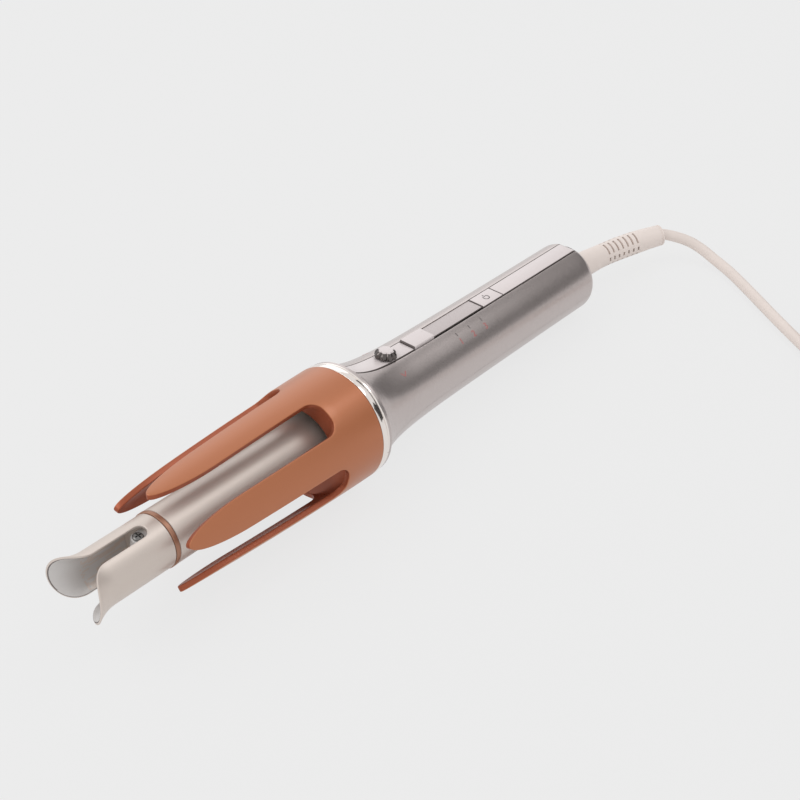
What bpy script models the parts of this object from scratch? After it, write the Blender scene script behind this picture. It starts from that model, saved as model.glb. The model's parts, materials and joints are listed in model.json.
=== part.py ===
"""Automatic hair curler with a rotating barrel, a pronged guard and a swivel cord.

The curler lies on a table: it rests on the ring behind its guard and on the
handle's rear shoulder. +X runs along the handle to the cord, +Z is up. Almost
everything is built in the curler's own axis frame, whose X axis is the barrel's
axis and whose zero is the barrel's front end; an empty leans that frame onto the table.
"""

import math

import bmesh
import bpy
from mathutils import Matrix, Vector

mm = 0.001
full_turn = 2 * math.pi
half_turn = math.pi
quarter_turn = math.pi / 2

# Clearances
seat_gap = 0.3 * mm  # between two pieces that sit on each other
running_gap = 0.2 * mm  # between a turning piece and its bush
overrun = 1.0 * mm  # how far a cutter passes the face it cuts
overlap_bite = 0.5 * mm  # how far a boss runs into the body it belongs to

# Barrel
barrel_r = 14.0 * mm
barrel_wall = 1.2 * mm
barrel_length = 114.0 * mm

# Ring between barrel and tip
tip_ring_length = 2.4 * mm
tip_ring_proud = 0.1 * mm

# Split tip
fork_r = 13.7 * mm
fork_wall = 1.3 * mm
fork_length = 47.7 * mm
fork_roll = math.radians(10)
fork_gap = 7.5 * mm
fork_gap_depth = 40.5 * mm
wing_round_length = 14.0 * mm
wing_flare = 4.1 * mm
wing_flare_length = 14.0 * mm
fork_floor_depth = 41.5 * mm
fork_floor_thickness = 4.0 * mm
spigot_r = 11.4 * mm
spigot_wall = 2.0 * mm
spigot_length = 7.5 * mm
tip_screw_r = 1.2 * mm
tip_screw_head_r = 2.8 * mm
tip_screw_head_height = 1.3 * mm
tip_screw_length = 20.0 * mm

# Guard
prong_count = 5
guard_roll = math.radians(-5)
guard_past_barrel = 5.0 * mm
guard_length = 123.0 * mm
guard_rear_r = 30.3 * mm
guard_tip_r = 25.6 * mm
guard_curve = 1.6
guard_wall = 3.0 * mm
guard_edge = 0.7 * mm
prong_half_angle = math.radians(17.3)
prong_round_length = 36.0 * mm
guard_ring_length = 24.0 * mm
gap_corner_r = 7.0 * mm
guard_face_thickness = 3.0 * mm
guard_face_setback = 0.2 * mm
guard_mouth_r = 19.0 * mm
guard_screw_count = 5
guard_screw_r = 1.0 * mm
guard_screw_head_r = 1.9 * mm
guard_screw_head_height = 1.6 * mm
guard_screw_grip = 2.0 * mm

# Bearing frame behind the guard's face
frame_sleeve_r = 26.1 * mm
frame_wall = 2.4 * mm
frame_hub_wall = 2.2 * mm
frame_hub_length = 15.0 * mm
frame_reach_into_handle = 3.0 * mm
front_bush_wall = 2.2 * mm
front_bush_length = 10.0 * mm

# Chromed ring between guard and handle
trim_ring_length = 3.4 * mm
trim_ring_chamfer = 0.4 * mm

# Handle
handle_length = 192.0 * mm
handle_lip_r = 30.0 * mm
handle_rear_r = 19.3 * mm
handle_wall = 2.2 * mm
lip_length = 2.6 * mm
lip_chamfer = 0.4 * mm
handle_shoulder = 5.0 * mm
handle_rear_wall = 2.2 * mm
handle_bore_clearance = 1.7 * mm
parting_gap = 0.3 * mm
upper_shell_sweep = math.radians(200)
handle_length_shares = (0.0, 0.005, 0.011, 0.031, 0.05, 0.076, 0.104, 0.16, 0.216, 0.322, 0.513, 0.748, 1.0)
handle_flare_shares = (1.0, 0.92, 0.794, 0.645, 0.533, 0.42, 0.327, 0.215, 0.154, 0.093, 0.051, 0.019, 0.0)

# Control strip let into the top of the handle
strip_half_width = 4.9 * mm
strip_nose_half_width = 3.6 * mm
strip_thickness = 1.5 * mm
groove_width = 0.85 * mm
strip_front_setback = 5.6 * mm
strip_taper_length = 18.4 * mm
front_fascia_share = 0.24142  # of the strip's length, as the next three
start_button_share = 0.08749
display_share = 0.2237
power_button_share = 0.09192
strip_joint = 0.4 * mm
strip_rear_margin = 5.8 * mm
start_button_proud = 1.3 * mm
start_button_travel = 0.8 * mm
power_button_travel = 0.5 * mm
display_sunk = 0.4 * mm
button_edge = 0.4 * mm
stem_half_width = 2.0 * mm
stem_clearance = 0.5 * mm

# Direction knob
knob_setback = 32.5 * mm
knob_r = 5.8 * mm
knob_height = 2.6 * mm
knob_lift = 0.6 * mm
knob_scallops = 8
knob_scallop_depth = 0.8 * mm
knob_edge = 0.4 * mm
knob_neck_r = 4.0 * mm
knob_shaft_r = 2.0 * mm
knob_shaft_clearance = 0.6 * mm

# Carrier under the strip, and the board that hangs from it
carrier_half_width = 6.3 * mm
carrier_rib_half_width = 4.6 * mm
carrier_thickness = 1.6 * mm
carrier_end_gap = 0.7 * mm
board_height_share = 0.5233  # of the handle's rear radius
board_thickness = 1.6 * mm
board_side_clearance = 1.3 * mm
board_front_setback = 23.0 * mm
board_rear_margin = 25.0 * mm
hanger_half_width = 4.0 * mm
hanger_thickness = 2.0 * mm
hanger_rear_margin = 8.6 * mm
switch_half_width = 3.0 * mm
switch_clearance = 0.8 * mm
switch_cap_r = 1.6 * mm
switch_cap_height = 0.5 * mm
direction_switch_half_width = 5.0 * mm
direction_switch_height = 4.4 * mm
led_count = 3
led_half_width = 1.2 * mm
led_height = 1.2 * mm
led_pitch = 10.4 * mm
capacitor_r = 4.6 * mm
capacitor_length = 16.0 * mm
capacitor_rear_margin = 12.0 * mm
power_module_length = 14.0 * mm
power_module_half_width = 6.0 * mm
power_module_height = 5.5 * mm
power_module_spacing = 16.0 * mm

# Heater inside the barrel
heater_clearance = 0.4 * mm
heater_front_x = 9.0 * mm
heater_rear_margin = 19.0 * mm
heater_plate_thickness = 2.4 * mm
heater_plate_half_width = 9.5 * mm
heater_plate_setback = 6.0 * mm
fuse_r = 1.4 * mm
fuse_length = 11.0 * mm
fuse_offset = 5.5 * mm

# Hub, hollow shaft, gear and slip rings behind the barrel
hub_plug_length = 14.0 * mm
hub_collar_length = 2.6 * mm
shaft_share = 0.228  # of the handle's rear radius
shaft_wall = 2.0 * mm
shaft_length = 46.0 * mm
gear_module = 0.6 * mm
drive_teeth = 24
pinion_teeth = 12
gear_width = 4.5 * mm
gear_backlash = 0.2 * mm
gear_addendum_share = 0.8
gear_dedendum_share = 1.25
gear_pressure_angle = math.radians(20)
gear_setback = 3.2 * mm
pinion_shaft_r = 1.5 * mm
pinion_shaft_length = 7.0 * mm
plate_thickness = 3.0 * mm
plate_rim_clearance = 0.6 * mm
rear_bush_wall = 2.0 * mm
rear_bush_length = 4.4 * mm
rear_bush_flange_r = 8.0 * mm
rear_bush_flange = 1.2 * mm
slip_ring_width = 3.0 * mm
slip_ring_wall = 1.2 * mm
slip_ring_count = 2
slip_ring_pitch = 6.0 * mm
slip_ring_margin = 4.0 * mm
brush_half_width = 1.0 * mm
brush_half_length = 1.5 * mm
brush_block_half_width = 5.0 * mm
brush_saddle_share = 0.4  # of the slip rings' radius

# Gear motor under the shaft
motor_half_width = 6.0 * mm
motor_shaft_clearance = 0.4 * mm
gearbox_length = 9.0 * mm
motor_can_length = 15.0 * mm
motor_edge = 1.4 * mm
motor_screw_r = 0.8 * mm
motor_screw_head_r = 1.5 * mm
motor_screw_head_height = 0.9 * mm
motor_screw_spread = 4.3 * mm
motor_screw_grip = 2.0 * mm

# Swivel and strain relief
neck_share = 0.3782  # of the handle's rear radius
swivel_flange_proud = 1.0 * mm
swivel_flange = 3.0 * mm
socket_length = 6.2 * mm
socket_lip_wall = 1.1 * mm
socket_rear_inset = 0.3 * mm
retainer_thickness = 2.4 * mm
retainer_bore_inset = 2.3 * mm
relief_length = 75.0 * mm
relief_bend = math.radians(-27.5)
relief_lift = math.radians(3.9)
relief_radius_shares = (1.0, 1.0, 0.98, 0.9, 0.85, 0.84, 0.83, 0.81, 0.79, 0.79)
relief_slot_count = 7
relief_slot_first_share = 0.34
relief_slot_last_share = 0.68
relief_slot_width = 1.1 * mm
relief_slot_depth = 1.9 * mm
relief_long_slot = 5.8 * mm
relief_short_slot = 3.0 * mm
relief_slot_rows = 6
relief_slot_roll = math.radians(16.6)

# Cord, coil, tie and plug, on the table; X is counted from the handle's rear end
cord_r = 3.1 * mm
cord_point_spacing = 15.0 * mm
coil_centre_place = (73.35 * mm, -169.0 * mm)
coil_inner_r = 23.3 * mm
coil_pitch = 6.8 * mm
coil_turns = 7.05
coil_entry_angle = math.radians(151)
coil_lift = 1.1 * mm
coil_points_per_turn = 24
tie_width = 9.0 * mm
tie_thickness = 0.7 * mm
tie_slack = 0.35 * mm
tie_angle = math.radians(60)
cord_route = (
    (76.56 * mm, -22.4 * mm, 14.6 * mm),
    (81.85 * mm, -29.0 * mm, 11.2 * mm),
    (84.16 * mm, -36.4 * mm, 7.7 * mm),
    (84.26 * mm, -43.8 * mm, 4.8 * mm),
    (82.85 * mm, -51.0 * mm, 3.4 * mm),
    (79.56 * mm, -58.9 * mm, 3.15 * mm),
    (70.96 * mm, -75.0 * mm, 3.15 * mm),
    (56.96 * mm, -99.8 * mm, 3.15 * mm),
    (43.36 * mm, -124.8 * mm, 3.3 * mm),
)
tail_route = (
    (21.96 * mm, -185.7 * mm, 10.9 * mm),
    (19.56 * mm, -197.9 * mm, 10.2 * mm),
    (19.36 * mm, -208.3 * mm, 9.3 * mm),
    (22.16 * mm, -218.8 * mm, 8.2 * mm),
    (27.76 * mm, -227.6 * mm, 7.2 * mm),
    (35.76 * mm, -234.6 * mm, 6.85 * mm),
)
plug_length = 36.0 * mm
plug_half_width = 12.8 * mm
plug_half_height = 6.85 * mm
plug_rear_half_width = 6.2 * mm
plug_edge = 2.0 * mm
plug_heading = math.radians(-31)
pin_r = 2.0 * mm
pin_length = 19.0 * mm
pin_spread = 9.3 * mm
pin_grip = 8.0 * mm

# Facets
fine_segments = 48
barrel_segments = 48
round_segments = 32
small_segments = 20
screw_segments = 10
upper_shell_steps = 22
lower_shell_steps = 19  # an odd count leaves a flat facet underneath to lie on
relief_segments = 16
relief_steps = 9
weld_distance = 0.01 * mm

# Stations along the axis
guard_rear_x = barrel_length + guard_past_barrel
prong_tip_x = guard_rear_x - guard_length
guard_ring_front_x = guard_rear_x - guard_ring_length
guard_face_front_x = guard_ring_front_x + guard_face_setback
guard_face_rear_x = guard_face_front_x + guard_face_thickness
frame_front_x = guard_face_rear_x + seat_gap
trim_ring_front_x = guard_rear_x + seat_gap
trim_ring_rear_x = trim_ring_front_x + trim_ring_length
handle_front_x = trim_ring_rear_x + seat_gap
handle_rear_x = handle_front_x + handle_length
lip_end_x = handle_front_x + lip_length
shoulder_x = handle_rear_x - handle_shoulder
frame_rear_x = handle_front_x + frame_reach_into_handle
heater_rear_x = barrel_length - heater_rear_margin
hub_collar_rear_x = barrel_length + seat_gap + hub_collar_length
gear_front_x = frame_rear_x + gear_setback
gear_rear_x = gear_front_x + gear_width
plate_front_x = gear_rear_x + gear_backlash + rear_bush_flange + 2 * seat_gap
plate_rear_x = plate_front_x + plate_thickness
shaft_rear_x = hub_collar_rear_x + shaft_length
gear_centre_distance = gear_module * (drive_teeth + pinion_teeth) / 2
tip_ring_front_x = -seat_gap - tip_ring_length
fork_rear_x = tip_ring_front_x - seat_gap
fork_front_x = fork_rear_x - fork_length
fork_floor_x = fork_front_x + fork_floor_depth
strip_front_x = handle_front_x + strip_front_setback
strip_taper_end_x = strip_front_x + strip_taper_length
strip_rear_x = handle_rear_x - strip_rear_margin
strip_length = strip_rear_x - strip_front_x
front_fascia_end_x = strip_front_x + strip_length * front_fascia_share
start_button_length = strip_length * start_button_share
display_length = strip_length * display_share
power_button_length = strip_length * power_button_share
knob_x = handle_front_x + knob_setback
board_front_x = handle_front_x + board_front_setback
board_rear_x = handle_rear_x - board_rear_margin
start_button_x = front_fascia_end_x + strip_joint
display_x = start_button_x + start_button_length + strip_joint
power_button_x = display_x + display_length + strip_joint
rear_fascia_x = power_button_x + power_button_length + strip_joint
socket_rear_x = handle_rear_x - handle_rear_wall - seat_gap
socket_front_x = socket_rear_x - socket_length
swivel_flange_rear_x = socket_front_x - seat_gap
swivel_flange_front_x = swivel_flange_rear_x - swivel_flange

# Sizes that follow the handle's rear radius
shaft_r = handle_rear_r * shaft_share
shaft_bore_r = shaft_r - shaft_wall
slip_ring_r = shaft_r + seat_gap + slip_ring_wall
motor_half_height = gear_centre_distance - slip_ring_r - motor_shaft_clearance
board_top_z = handle_rear_r * board_height_share
board_half_width = math.sqrt((handle_rear_r - handle_wall) ** 2 - board_top_z ** 2) - board_side_clearance
neck_r = handle_rear_r * neck_share
handle_bore_r = neck_r + handle_bore_clearance
swivel_flange_r = handle_bore_r + swivel_flange_proud
retainer_bore_r = neck_r - retainer_bore_inset
parting_turn = parting_gap / 2 / handle_rear_r
lower_shell_sweep = full_turn - upper_shell_sweep

# How the curler lies: the trim ring and the rear shoulder both touch the table
facet_share = math.cos((lower_shell_sweep / 2 - parting_turn) / lower_shell_steps)
ring_touch_x = trim_ring_rear_x - trim_ring_chamfer
lie_angle = math.atan2(guard_rear_r - handle_rear_r * facet_share, shoulder_x - ring_touch_x)
axis_height = ring_touch_x * math.sin(lie_angle) + guard_rear_r * math.cos(lie_angle)
wing_tip_r = fork_r + wing_flare
wing_drop = wing_tip_r * math.sin(fork_roll)
foremost_x = fork_front_x * math.cos(lie_angle) - wing_drop * math.sin(lie_angle)
rearmost_x = handle_rear_x * math.cos(lie_angle) + (handle_rear_r - handle_shoulder) * math.sin(lie_angle)
axis_start_x = -(foremost_x + rearmost_x) / 2
cord_origin = Vector((axis_start_x + rearmost_x, 0, 0))
coil_centre = cord_origin + Vector((*coil_centre_place, 0))


def clear_scene():
    for item in list(bpy.data.objects):
        bpy.data.objects.remove(item, do_unlink=True)


def make_material(name, colour, roughness, metallic):
    material = bpy.data.materials.new(name)
    material.use_nodes = True
    shader = material.node_tree.nodes["Principled BSDF"]
    shader.inputs["Base Color"].default_value = (*colour, 1.0)
    shader.inputs["Roughness"].default_value = roughness
    shader.inputs["Metallic"].default_value = metallic
    return material


def make_materials():
    return {
        "copper": make_material("copper_paint", (0.42, 0.15, 0.07), 0.38, 0.4),
        "champagne": make_material("champagne_metal", (0.54, 0.48, 0.45), 0.35, 0.8),
        "chrome": make_material("chrome", (0.85, 0.83, 0.83), 0.08, 1.0),
        "gloss": make_material("pearl_gloss", (0.76, 0.68, 0.68), 0.15, 0.4),
        "display": make_material("display_pearl", (0.6, 0.53, 0.53), 0.3, 0.2),
        "bronze": make_material("brown_bronze", (0.3, 0.15, 0.09), 0.35, 0.6),
        "black": make_material("black_plastic", (0.03, 0.03, 0.03), 0.5, 0.0),
        "cream": make_material("cream_rubber", (0.66, 0.59, 0.54), 0.55, 0.0),
        "aluminium": make_material("plain_aluminium", (0.7, 0.7, 0.72), 0.4, 1.0),
        "steel": make_material("steel", (0.5, 0.5, 0.52), 0.3, 1.0),
        "brass": make_material("brass", (0.7, 0.5, 0.2), 0.3, 1.0),
        "ceramic": make_material("white_ceramic", (0.85, 0.84, 0.8), 0.4, 0.0),
        "ptfe": make_material("bearing_plastic", (0.85, 0.8, 0.65), 0.4, 0.0),
        "board": make_material("board_green", (0.03, 0.2, 0.08), 0.5, 0.0),
        "carbon": make_material("carbon", (0.02, 0.02, 0.02), 0.6, 0.0),
    }


def add_empty(name, parent=None, location=(0, 0, 0), rotation=(0, 0, 0)):
    empty = bpy.data.objects.new(name, None)
    empty.location = location
    empty.rotation_euler = rotation
    empty.parent = parent
    bpy.context.scene.collection.objects.link(empty)
    return empty


def add_part(name, bm, material, parent, smooth_angle=math.radians(35)):
    """Turn a bmesh into a named object with its own material."""
    bmesh.ops.recalc_face_normals(bm, faces=bm.faces)
    mesh = bpy.data.meshes.new(name)
    bm.to_mesh(mesh)
    bm.free()
    mesh.materials.append(material)
    mesh.shade_smooth()
    mesh.set_sharp_from_angle(angle=smooth_angle)
    part = bpy.data.objects.new(name, mesh)
    part.parent = parent
    bpy.context.scene.collection.objects.link(part)
    return part


def add_cutter(name, bm, parent):
    bmesh.ops.recalc_face_normals(bm, faces=bm.faces)
    mesh = bpy.data.meshes.new(name)
    bm.to_mesh(mesh)
    bm.free()
    cutter = bpy.data.objects.new(name, mesh)
    cutter.parent = parent
    cutter.hide_render = True
    cutter.display_type = "WIRE"
    bpy.context.scene.collection.objects.link(cutter)
    return cutter


def combine(part, other, operation="DIFFERENCE"):
    modifier = part.modifiers.new(operation.lower(), "BOOLEAN")
    modifier.operation = operation
    modifier.solver = "EXACT"
    modifier.object = other
    return part


def round_edges(part, width, segments=1, angle=math.radians(40)):
    modifier = part.modifiers.new("edges", "BEVEL")
    modifier.width = width
    modifier.segments = segments
    modifier.limit_method = "ANGLE"
    modifier.angle_limit = angle
    return part


def around(x, radius, angle):
    """A point at an angle from the top, turning towards the -Y side."""
    return Vector((x, -radius * math.sin(angle), radius * math.cos(angle)))


def lathe(profile, segments, start=0.0, sweep=full_turn):
    """Turn a closed profile of (x, radius) points about the X axis."""
    bm = bmesh.new()
    closed = sweep >= full_turn
    ring_count = segments if closed else segments + 1
    rings = []
    for step in range(ring_count):
        angle = start + sweep * step / segments
        rings.append([bm.verts.new(around(x, radius, angle)) for x, radius in profile])
    count = len(profile)
    following = rings[1:] + rings[:1] if closed else rings[1:]
    for near, far in zip(rings, following):
        for index in range(count):
            after = (index + 1) % count
            if profile[index][1] > 0 or profile[after][1] > 0:
                bm.faces.new((near[index], near[after], far[after], far[index]))
    if not closed:
        bm.faces.new(rings[0])
        bm.faces.new(rings[-1])
    bmesh.ops.remove_doubles(bm, verts=bm.verts, dist=weld_distance)
    return bm


def rod(x_low, x_high, radius, segments=small_segments, offset=(0, 0)):
    bm = bmesh.new()
    bmesh.ops.create_cone(
        bm, cap_ends=True, segments=segments, radius1=radius, radius2=radius, depth=x_high - x_low)
    bmesh.ops.rotate(bm, verts=bm.verts, matrix=Matrix.Rotation(quarter_turn, 3, "Y"))
    bmesh.ops.translate(bm, verts=bm.verts, vec=((x_low + x_high) / 2, *offset))
    return bm


def block(x_low, x_high, y_low, y_high, z_low, z_high):
    bm = bmesh.new()
    bmesh.ops.create_cube(bm, size=1)
    size = Vector((x_high - x_low, y_high - y_low, z_high - z_low))
    centre = Vector((x_high + x_low, y_high + y_low, z_high + z_low)) / 2
    bmesh.ops.scale(bm, verts=bm.verts, vec=size)
    bmesh.ops.translate(bm, verts=bm.verts, vec=centre)
    return bm


def upright(bm):
    """Stand a shape made along X up along Z."""
    bmesh.ops.rotate(bm, verts=bm.verts, matrix=Matrix.Rotation(-quarter_turn, 3, "Y"))
    return bm


def join(shapes):
    """Put several separate shapes into one bmesh."""
    whole = shapes[0]
    for shape in shapes[1:]:
        mesh = bpy.data.meshes.new("joined")
        shape.to_mesh(mesh)
        shape.free()
        whole.from_mesh(mesh)
        bpy.data.meshes.remove(mesh)
    return whole


def loft(sections):
    """Skin a run of equal closed sections and cap both ends."""
    bm = bmesh.new()
    rings = [[bm.verts.new(point) for point in section] for section in sections]
    count = len(rings[0])
    for near, far in zip(rings, rings[1:]):
        for index in range(count):
            after = (index + 1) % count
            bm.faces.new((near[index], near[after], far[after], far[index]))
    bm.faces.new(rings[0])
    bm.faces.new(rings[-1])
    return bm


def interpolate(value, knots, results):
    for low, high, first, last in zip(knots, knots[1:], results, results[1:]):
        if value <= high:
            return first + (last - first) * (value - low) / (high - low)
    return results[-1]


def handle_radius(x):
    """Outer radius of the handle: a lip, then a flare that runs out to a plain grip."""
    if x <= lip_end_x:
        return handle_lip_r
    along_share = (x - lip_end_x) / (shoulder_x - lip_end_x)
    flare_share = interpolate(along_share, handle_length_shares, handle_flare_shares)
    return handle_rear_r + (handle_lip_r - handle_rear_r) * flare_share


def flare_stations():
    return [lip_end_x + share * (shoulder_x - lip_end_x) for share in handle_length_shares]


def strip_half_width_at(x):
    knots = (strip_front_x, strip_taper_end_x)
    widths = (strip_nose_half_width, strip_half_width)
    return interpolate(max(x, strip_front_x), knots, widths)


def strip_top(x):
    """Height of the strip's flat top, level with the handle's surface at its edges."""
    return math.sqrt(handle_radius(x) ** 2 - strip_half_width_at(x) ** 2)


def wrapped_sleeve(outline, half_angle, copies, roll, radius_at, reference_r, wall, edge, columns, rows):
    """Wrap a flat outline round the axis, once for each copy, as a wall of even depth.

    The outline is one sector: x along the axis, the second value along the arc at the
    reference radius. Its two straight sides meet the neighbouring copies.
    """
    half_arc = half_angle * reference_r
    flat = bmesh.new()
    face = flat.faces.new([flat.verts.new((x, arc, 0)) for x, arc in outline])
    extruded = bmesh.ops.extrude_face_region(flat, geom=[face])["geom"]
    inner = [item for item in extruded if isinstance(item, bmesh.types.BMVert)]
    bmesh.ops.translate(flat, verts=inner, vec=(0, 0, -wall))
    rear_x = max(x for x, arc in outline)
    if edge > 0:
        rim = [item for item in flat.edges if on_open_rim(item, half_arc, rear_x)]
        bmesh.ops.bevel(flat, geom=rim, offset=edge, segments=1, affect="EDGES")
    for step in range(1, columns):
        arc = -half_arc + 2 * half_arc * step / columns
        slice_flat(flat, Vector((0, arc, 0)), Vector((0, 1, 0)))
    for x in rows:
        slice_flat(flat, Vector((x, 0, 0)), Vector((1, 0, 0)))
    sides = [item for item in flat.faces if all(on_side(vert, half_arc) for vert in item.verts)]
    bmesh.ops.delete(flat, geom=sides, context="FACES")
    wrapped = [wrap(flat.copy(), radius_at, reference_r, roll + 2 * half_angle * copy) for copy in range(copies)]
    flat.free()
    sleeve = join(wrapped)
    bmesh.ops.remove_doubles(sleeve, verts=sleeve.verts, dist=weld_distance)
    return sleeve


def on_side(vert, half_arc):
    return abs(abs(vert.co.y) - half_arc) < weld_distance


def on_open_rim(edge, half_arc, rear_x):
    """An outer edge of a prong or a gap, but not of the sector's joints or rear."""
    outer = all(abs(vert.co.z) < weld_distance for vert in edge.verts)
    joint = all(on_side(vert, half_arc) for vert in edge.verts)
    rear = all(abs(vert.co.x - rear_x) < weld_distance for vert in edge.verts)
    return outer and not joint and not rear


def slice_flat(bm, point, normal):
    geometry = bm.verts[:] + bm.edges[:] + bm.faces[:]
    bmesh.ops.bisect_plane(bm, geom=geometry, dist=weld_distance, plane_co=point, plane_no=normal)


def wrap(flat, radius_at, reference_r, roll):
    for vert in flat.verts:
        x, arc, depth = vert.co
        vert.co = around(x, radius_at(x) + depth, roll + arc / reference_r)
    return flat


def finger_outline(tip_x, root_x, rear_x, half_width, round_length, half_arc, corner_r, corner_steps):
    """One finger and half the gap on each side of it, as a flat outline."""
    upper = []
    tip_steps = 5
    for step in range(tip_steps + 1):
        turn = quarter_turn * step / tip_steps
        upper.append((tip_x + round_length * (1 - math.cos(turn)), half_width * math.sin(turn)))
    corner_x = root_x - corner_r
    for step in range(corner_steps + 1):
        turn = quarter_turn * step / corner_steps
        upper.append((corner_x + corner_r * math.sin(turn), half_width + corner_r * (1 - math.cos(turn))))
    if upper[-1][1] < half_arc - weld_distance:
        upper.append((root_x, half_arc))
    upper.append((rear_x, half_arc))
    lower = [(x, -arc) for x, arc in reversed(upper[1:])]
    return upper + lower


def guard_radius(x):
    share = max(0.0, (guard_rear_x - x) / guard_length)
    return guard_rear_r - (guard_rear_r - guard_tip_r) * share ** guard_curve


def fork_radius(x):
    flare_start_x = fork_front_x + wing_flare_length
    share = max(0.0, (flare_start_x - x) / wing_flare_length)
    return fork_r + wing_flare * share ** 2


def screw_points(count, ring_r, roll):
    return [around(0, ring_r, roll + full_turn * index / count) for index in range(count)]


def frame_hub_r():
    return barrel_r + running_gap + front_bush_wall + seat_gap


def guard_screw_ring_r():
    """Half way between the bearing frame's hub and its sleeve."""
    return (frame_hub_r() + frame_hub_wall + frame_sleeve_r - frame_wall) / 2


def build_guard(materials, axis):
    """Ring, five tongue-shaped prongs and an inner face with a mouth for the barrel."""
    half_angle = half_turn / prong_count
    half_arc = half_angle * guard_rear_r
    outline = finger_outline(
        prong_tip_x, guard_ring_front_x, guard_rear_x, prong_half_angle * guard_rear_r,
        prong_round_length, half_arc, gap_corner_r, 4)
    row_shares = (0.17, 0.36, 0.56, 0.72, 0.86)
    rows = [prong_tip_x + share * guard_length for share in row_shares]
    columns = 9
    sleeve = wrapped_sleeve(
        outline, half_angle, prong_count, guard_roll, guard_radius, guard_rear_r,
        guard_wall, guard_edge, columns, rows)
    guard = add_part("guard_cage", sleeve, materials["copper"], axis)
    face_r = guard_radius(guard_face_rear_x) - guard_wall / 2
    face = lathe((
        (guard_face_front_x, guard_mouth_r), (guard_face_front_x, face_r),
        (guard_face_rear_x, face_r), (guard_face_rear_x, guard_mouth_r)), columns * prong_count, guard_roll)
    combine(guard, add_cutter("guard_face", face, axis), "UNION")
    holes = [
        rod(guard_face_rear_x - guard_screw_grip - seat_gap, guard_face_rear_x + overrun,
            guard_screw_r + seat_gap, screw_segments, (point.y, point.z))
        for point in screw_points(guard_screw_count, guard_screw_ring_r(), guard_roll)]
    combine(guard, add_cutter("guard_screw_holes", join(holes), axis))
    return guard


def build_guard_screws(materials, axis):
    head_x = frame_front_x + frame_wall + seat_gap
    for index, point in enumerate(screw_points(guard_screw_count, guard_screw_ring_r(), guard_roll)):
        fastener = screw(guard_face_rear_x - guard_screw_grip, head_x, head_x + guard_screw_head_height,
                         guard_screw_r, guard_screw_head_r, (point.y, point.z))
        add_part("guard_screw_%d" % (index + 1), fastener, materials["steel"], axis)


def screw(tip_x, neck_x, head_x, shank_r, head_r, offset=(0, 0)):
    """A screw along X with its head at the end that lies away from its tip."""
    profile = ((tip_x, 0), (tip_x, shank_r), (neck_x, shank_r), (neck_x, head_r), (head_x, head_r), (head_x, 0))
    bm = lathe(profile, screw_segments)
    bmesh.ops.translate(bm, verts=bm.verts, vec=(0, *offset))
    return bm


def build_bearing_frame(materials, axis):
    """Bulkhead inside the guard's ring; its hub holds the barrel's front bush."""
    hub_inner_r = frame_hub_r()
    bush_r = hub_inner_r - seat_gap
    hub_outer_r = hub_inner_r + frame_hub_wall
    hub_rear_x = frame_front_x + frame_hub_length
    plate_rear = frame_front_x + frame_wall
    profile = (
        (frame_front_x, hub_inner_r), (frame_front_x, frame_sleeve_r),
        (frame_rear_x, frame_sleeve_r), (frame_rear_x, frame_sleeve_r - frame_wall),
        (plate_rear, frame_sleeve_r - frame_wall), (plate_rear, hub_outer_r),
        (hub_rear_x, hub_outer_r), (hub_rear_x, hub_inner_r))
    frame = add_part("bearing_frame", lathe(profile, round_segments), materials["black"], axis)
    holes = [
        rod(frame_front_x - overrun, plate_rear + overrun, guard_screw_r + seat_gap, screw_segments, (point.y, point.z))
        for point in screw_points(guard_screw_count, guard_screw_ring_r(), guard_roll)]
    combine(frame, add_cutter("frame_screw_holes", join(holes), axis))
    bush_front_x = hub_rear_x - front_bush_length
    bush = lathe((
        (bush_front_x, barrel_r + running_gap), (bush_front_x, bush_r),
        (hub_rear_x, bush_r), (hub_rear_x, barrel_r + running_gap)), round_segments)
    add_part("front_bush", bush, materials["ptfe"], axis)
    return frame


def build_trim_ring(materials, axis):
    outer = guard_rear_r
    inner = frame_sleeve_r + seat_gap
    profile = (
        (trim_ring_front_x, inner), (trim_ring_front_x, outer - trim_ring_chamfer),
        (trim_ring_front_x + trim_ring_chamfer, outer), (trim_ring_rear_x - trim_ring_chamfer, outer),
        (trim_ring_rear_x, outer - trim_ring_chamfer), (trim_ring_rear_x, inner))
    return add_part("trim_ring", lathe(profile, fine_segments), materials["chrome"], axis)


def shell_profile():
    """Outer and inner wall of the handle with its rounded rear shoulder."""
    outer = [(handle_front_x, handle_lip_r - lip_chamfer), (handle_front_x + lip_chamfer, handle_lip_r)]
    outer += [(x, handle_radius(x)) for x in flare_stations()]
    shoulder_steps = 4
    for step in range(1, shoulder_steps + 1):
        turn = quarter_turn * step / shoulder_steps
        outer.append((
            shoulder_x + handle_shoulder * math.sin(turn),
            handle_rear_r - handle_shoulder * (1 - math.cos(turn))))
    inner_rear_x = handle_rear_x - handle_rear_wall
    rear = [(handle_rear_x, handle_bore_r), (inner_rear_x, handle_bore_r)]
    rear.append((inner_rear_x, handle_rear_r - handle_wall - handle_shoulder / 2))
    rear.append((shoulder_x, handle_rear_r - handle_wall))
    seat_r = frame_sleeve_r + seat_gap
    inner = []
    for x in reversed(flare_stations()[:-1:2]):
        if handle_radius(x) - handle_wall < seat_r:
            inner.append((x, handle_radius(x) - handle_wall))
    inner.append((frame_rear_x + seat_gap, seat_r))
    inner.append((handle_front_x, seat_r))
    return outer + rear + inner


def build_shell(name, material, axis, middle, sweep, steps):
    """A shell of the handle. Its edges stop short of the parting line by half the gap."""
    turned = sweep - 2 * parting_turn
    bm = lathe(shell_profile(), steps, middle - turned / 2, turned)
    return add_part(name, bm, material, axis)


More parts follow.
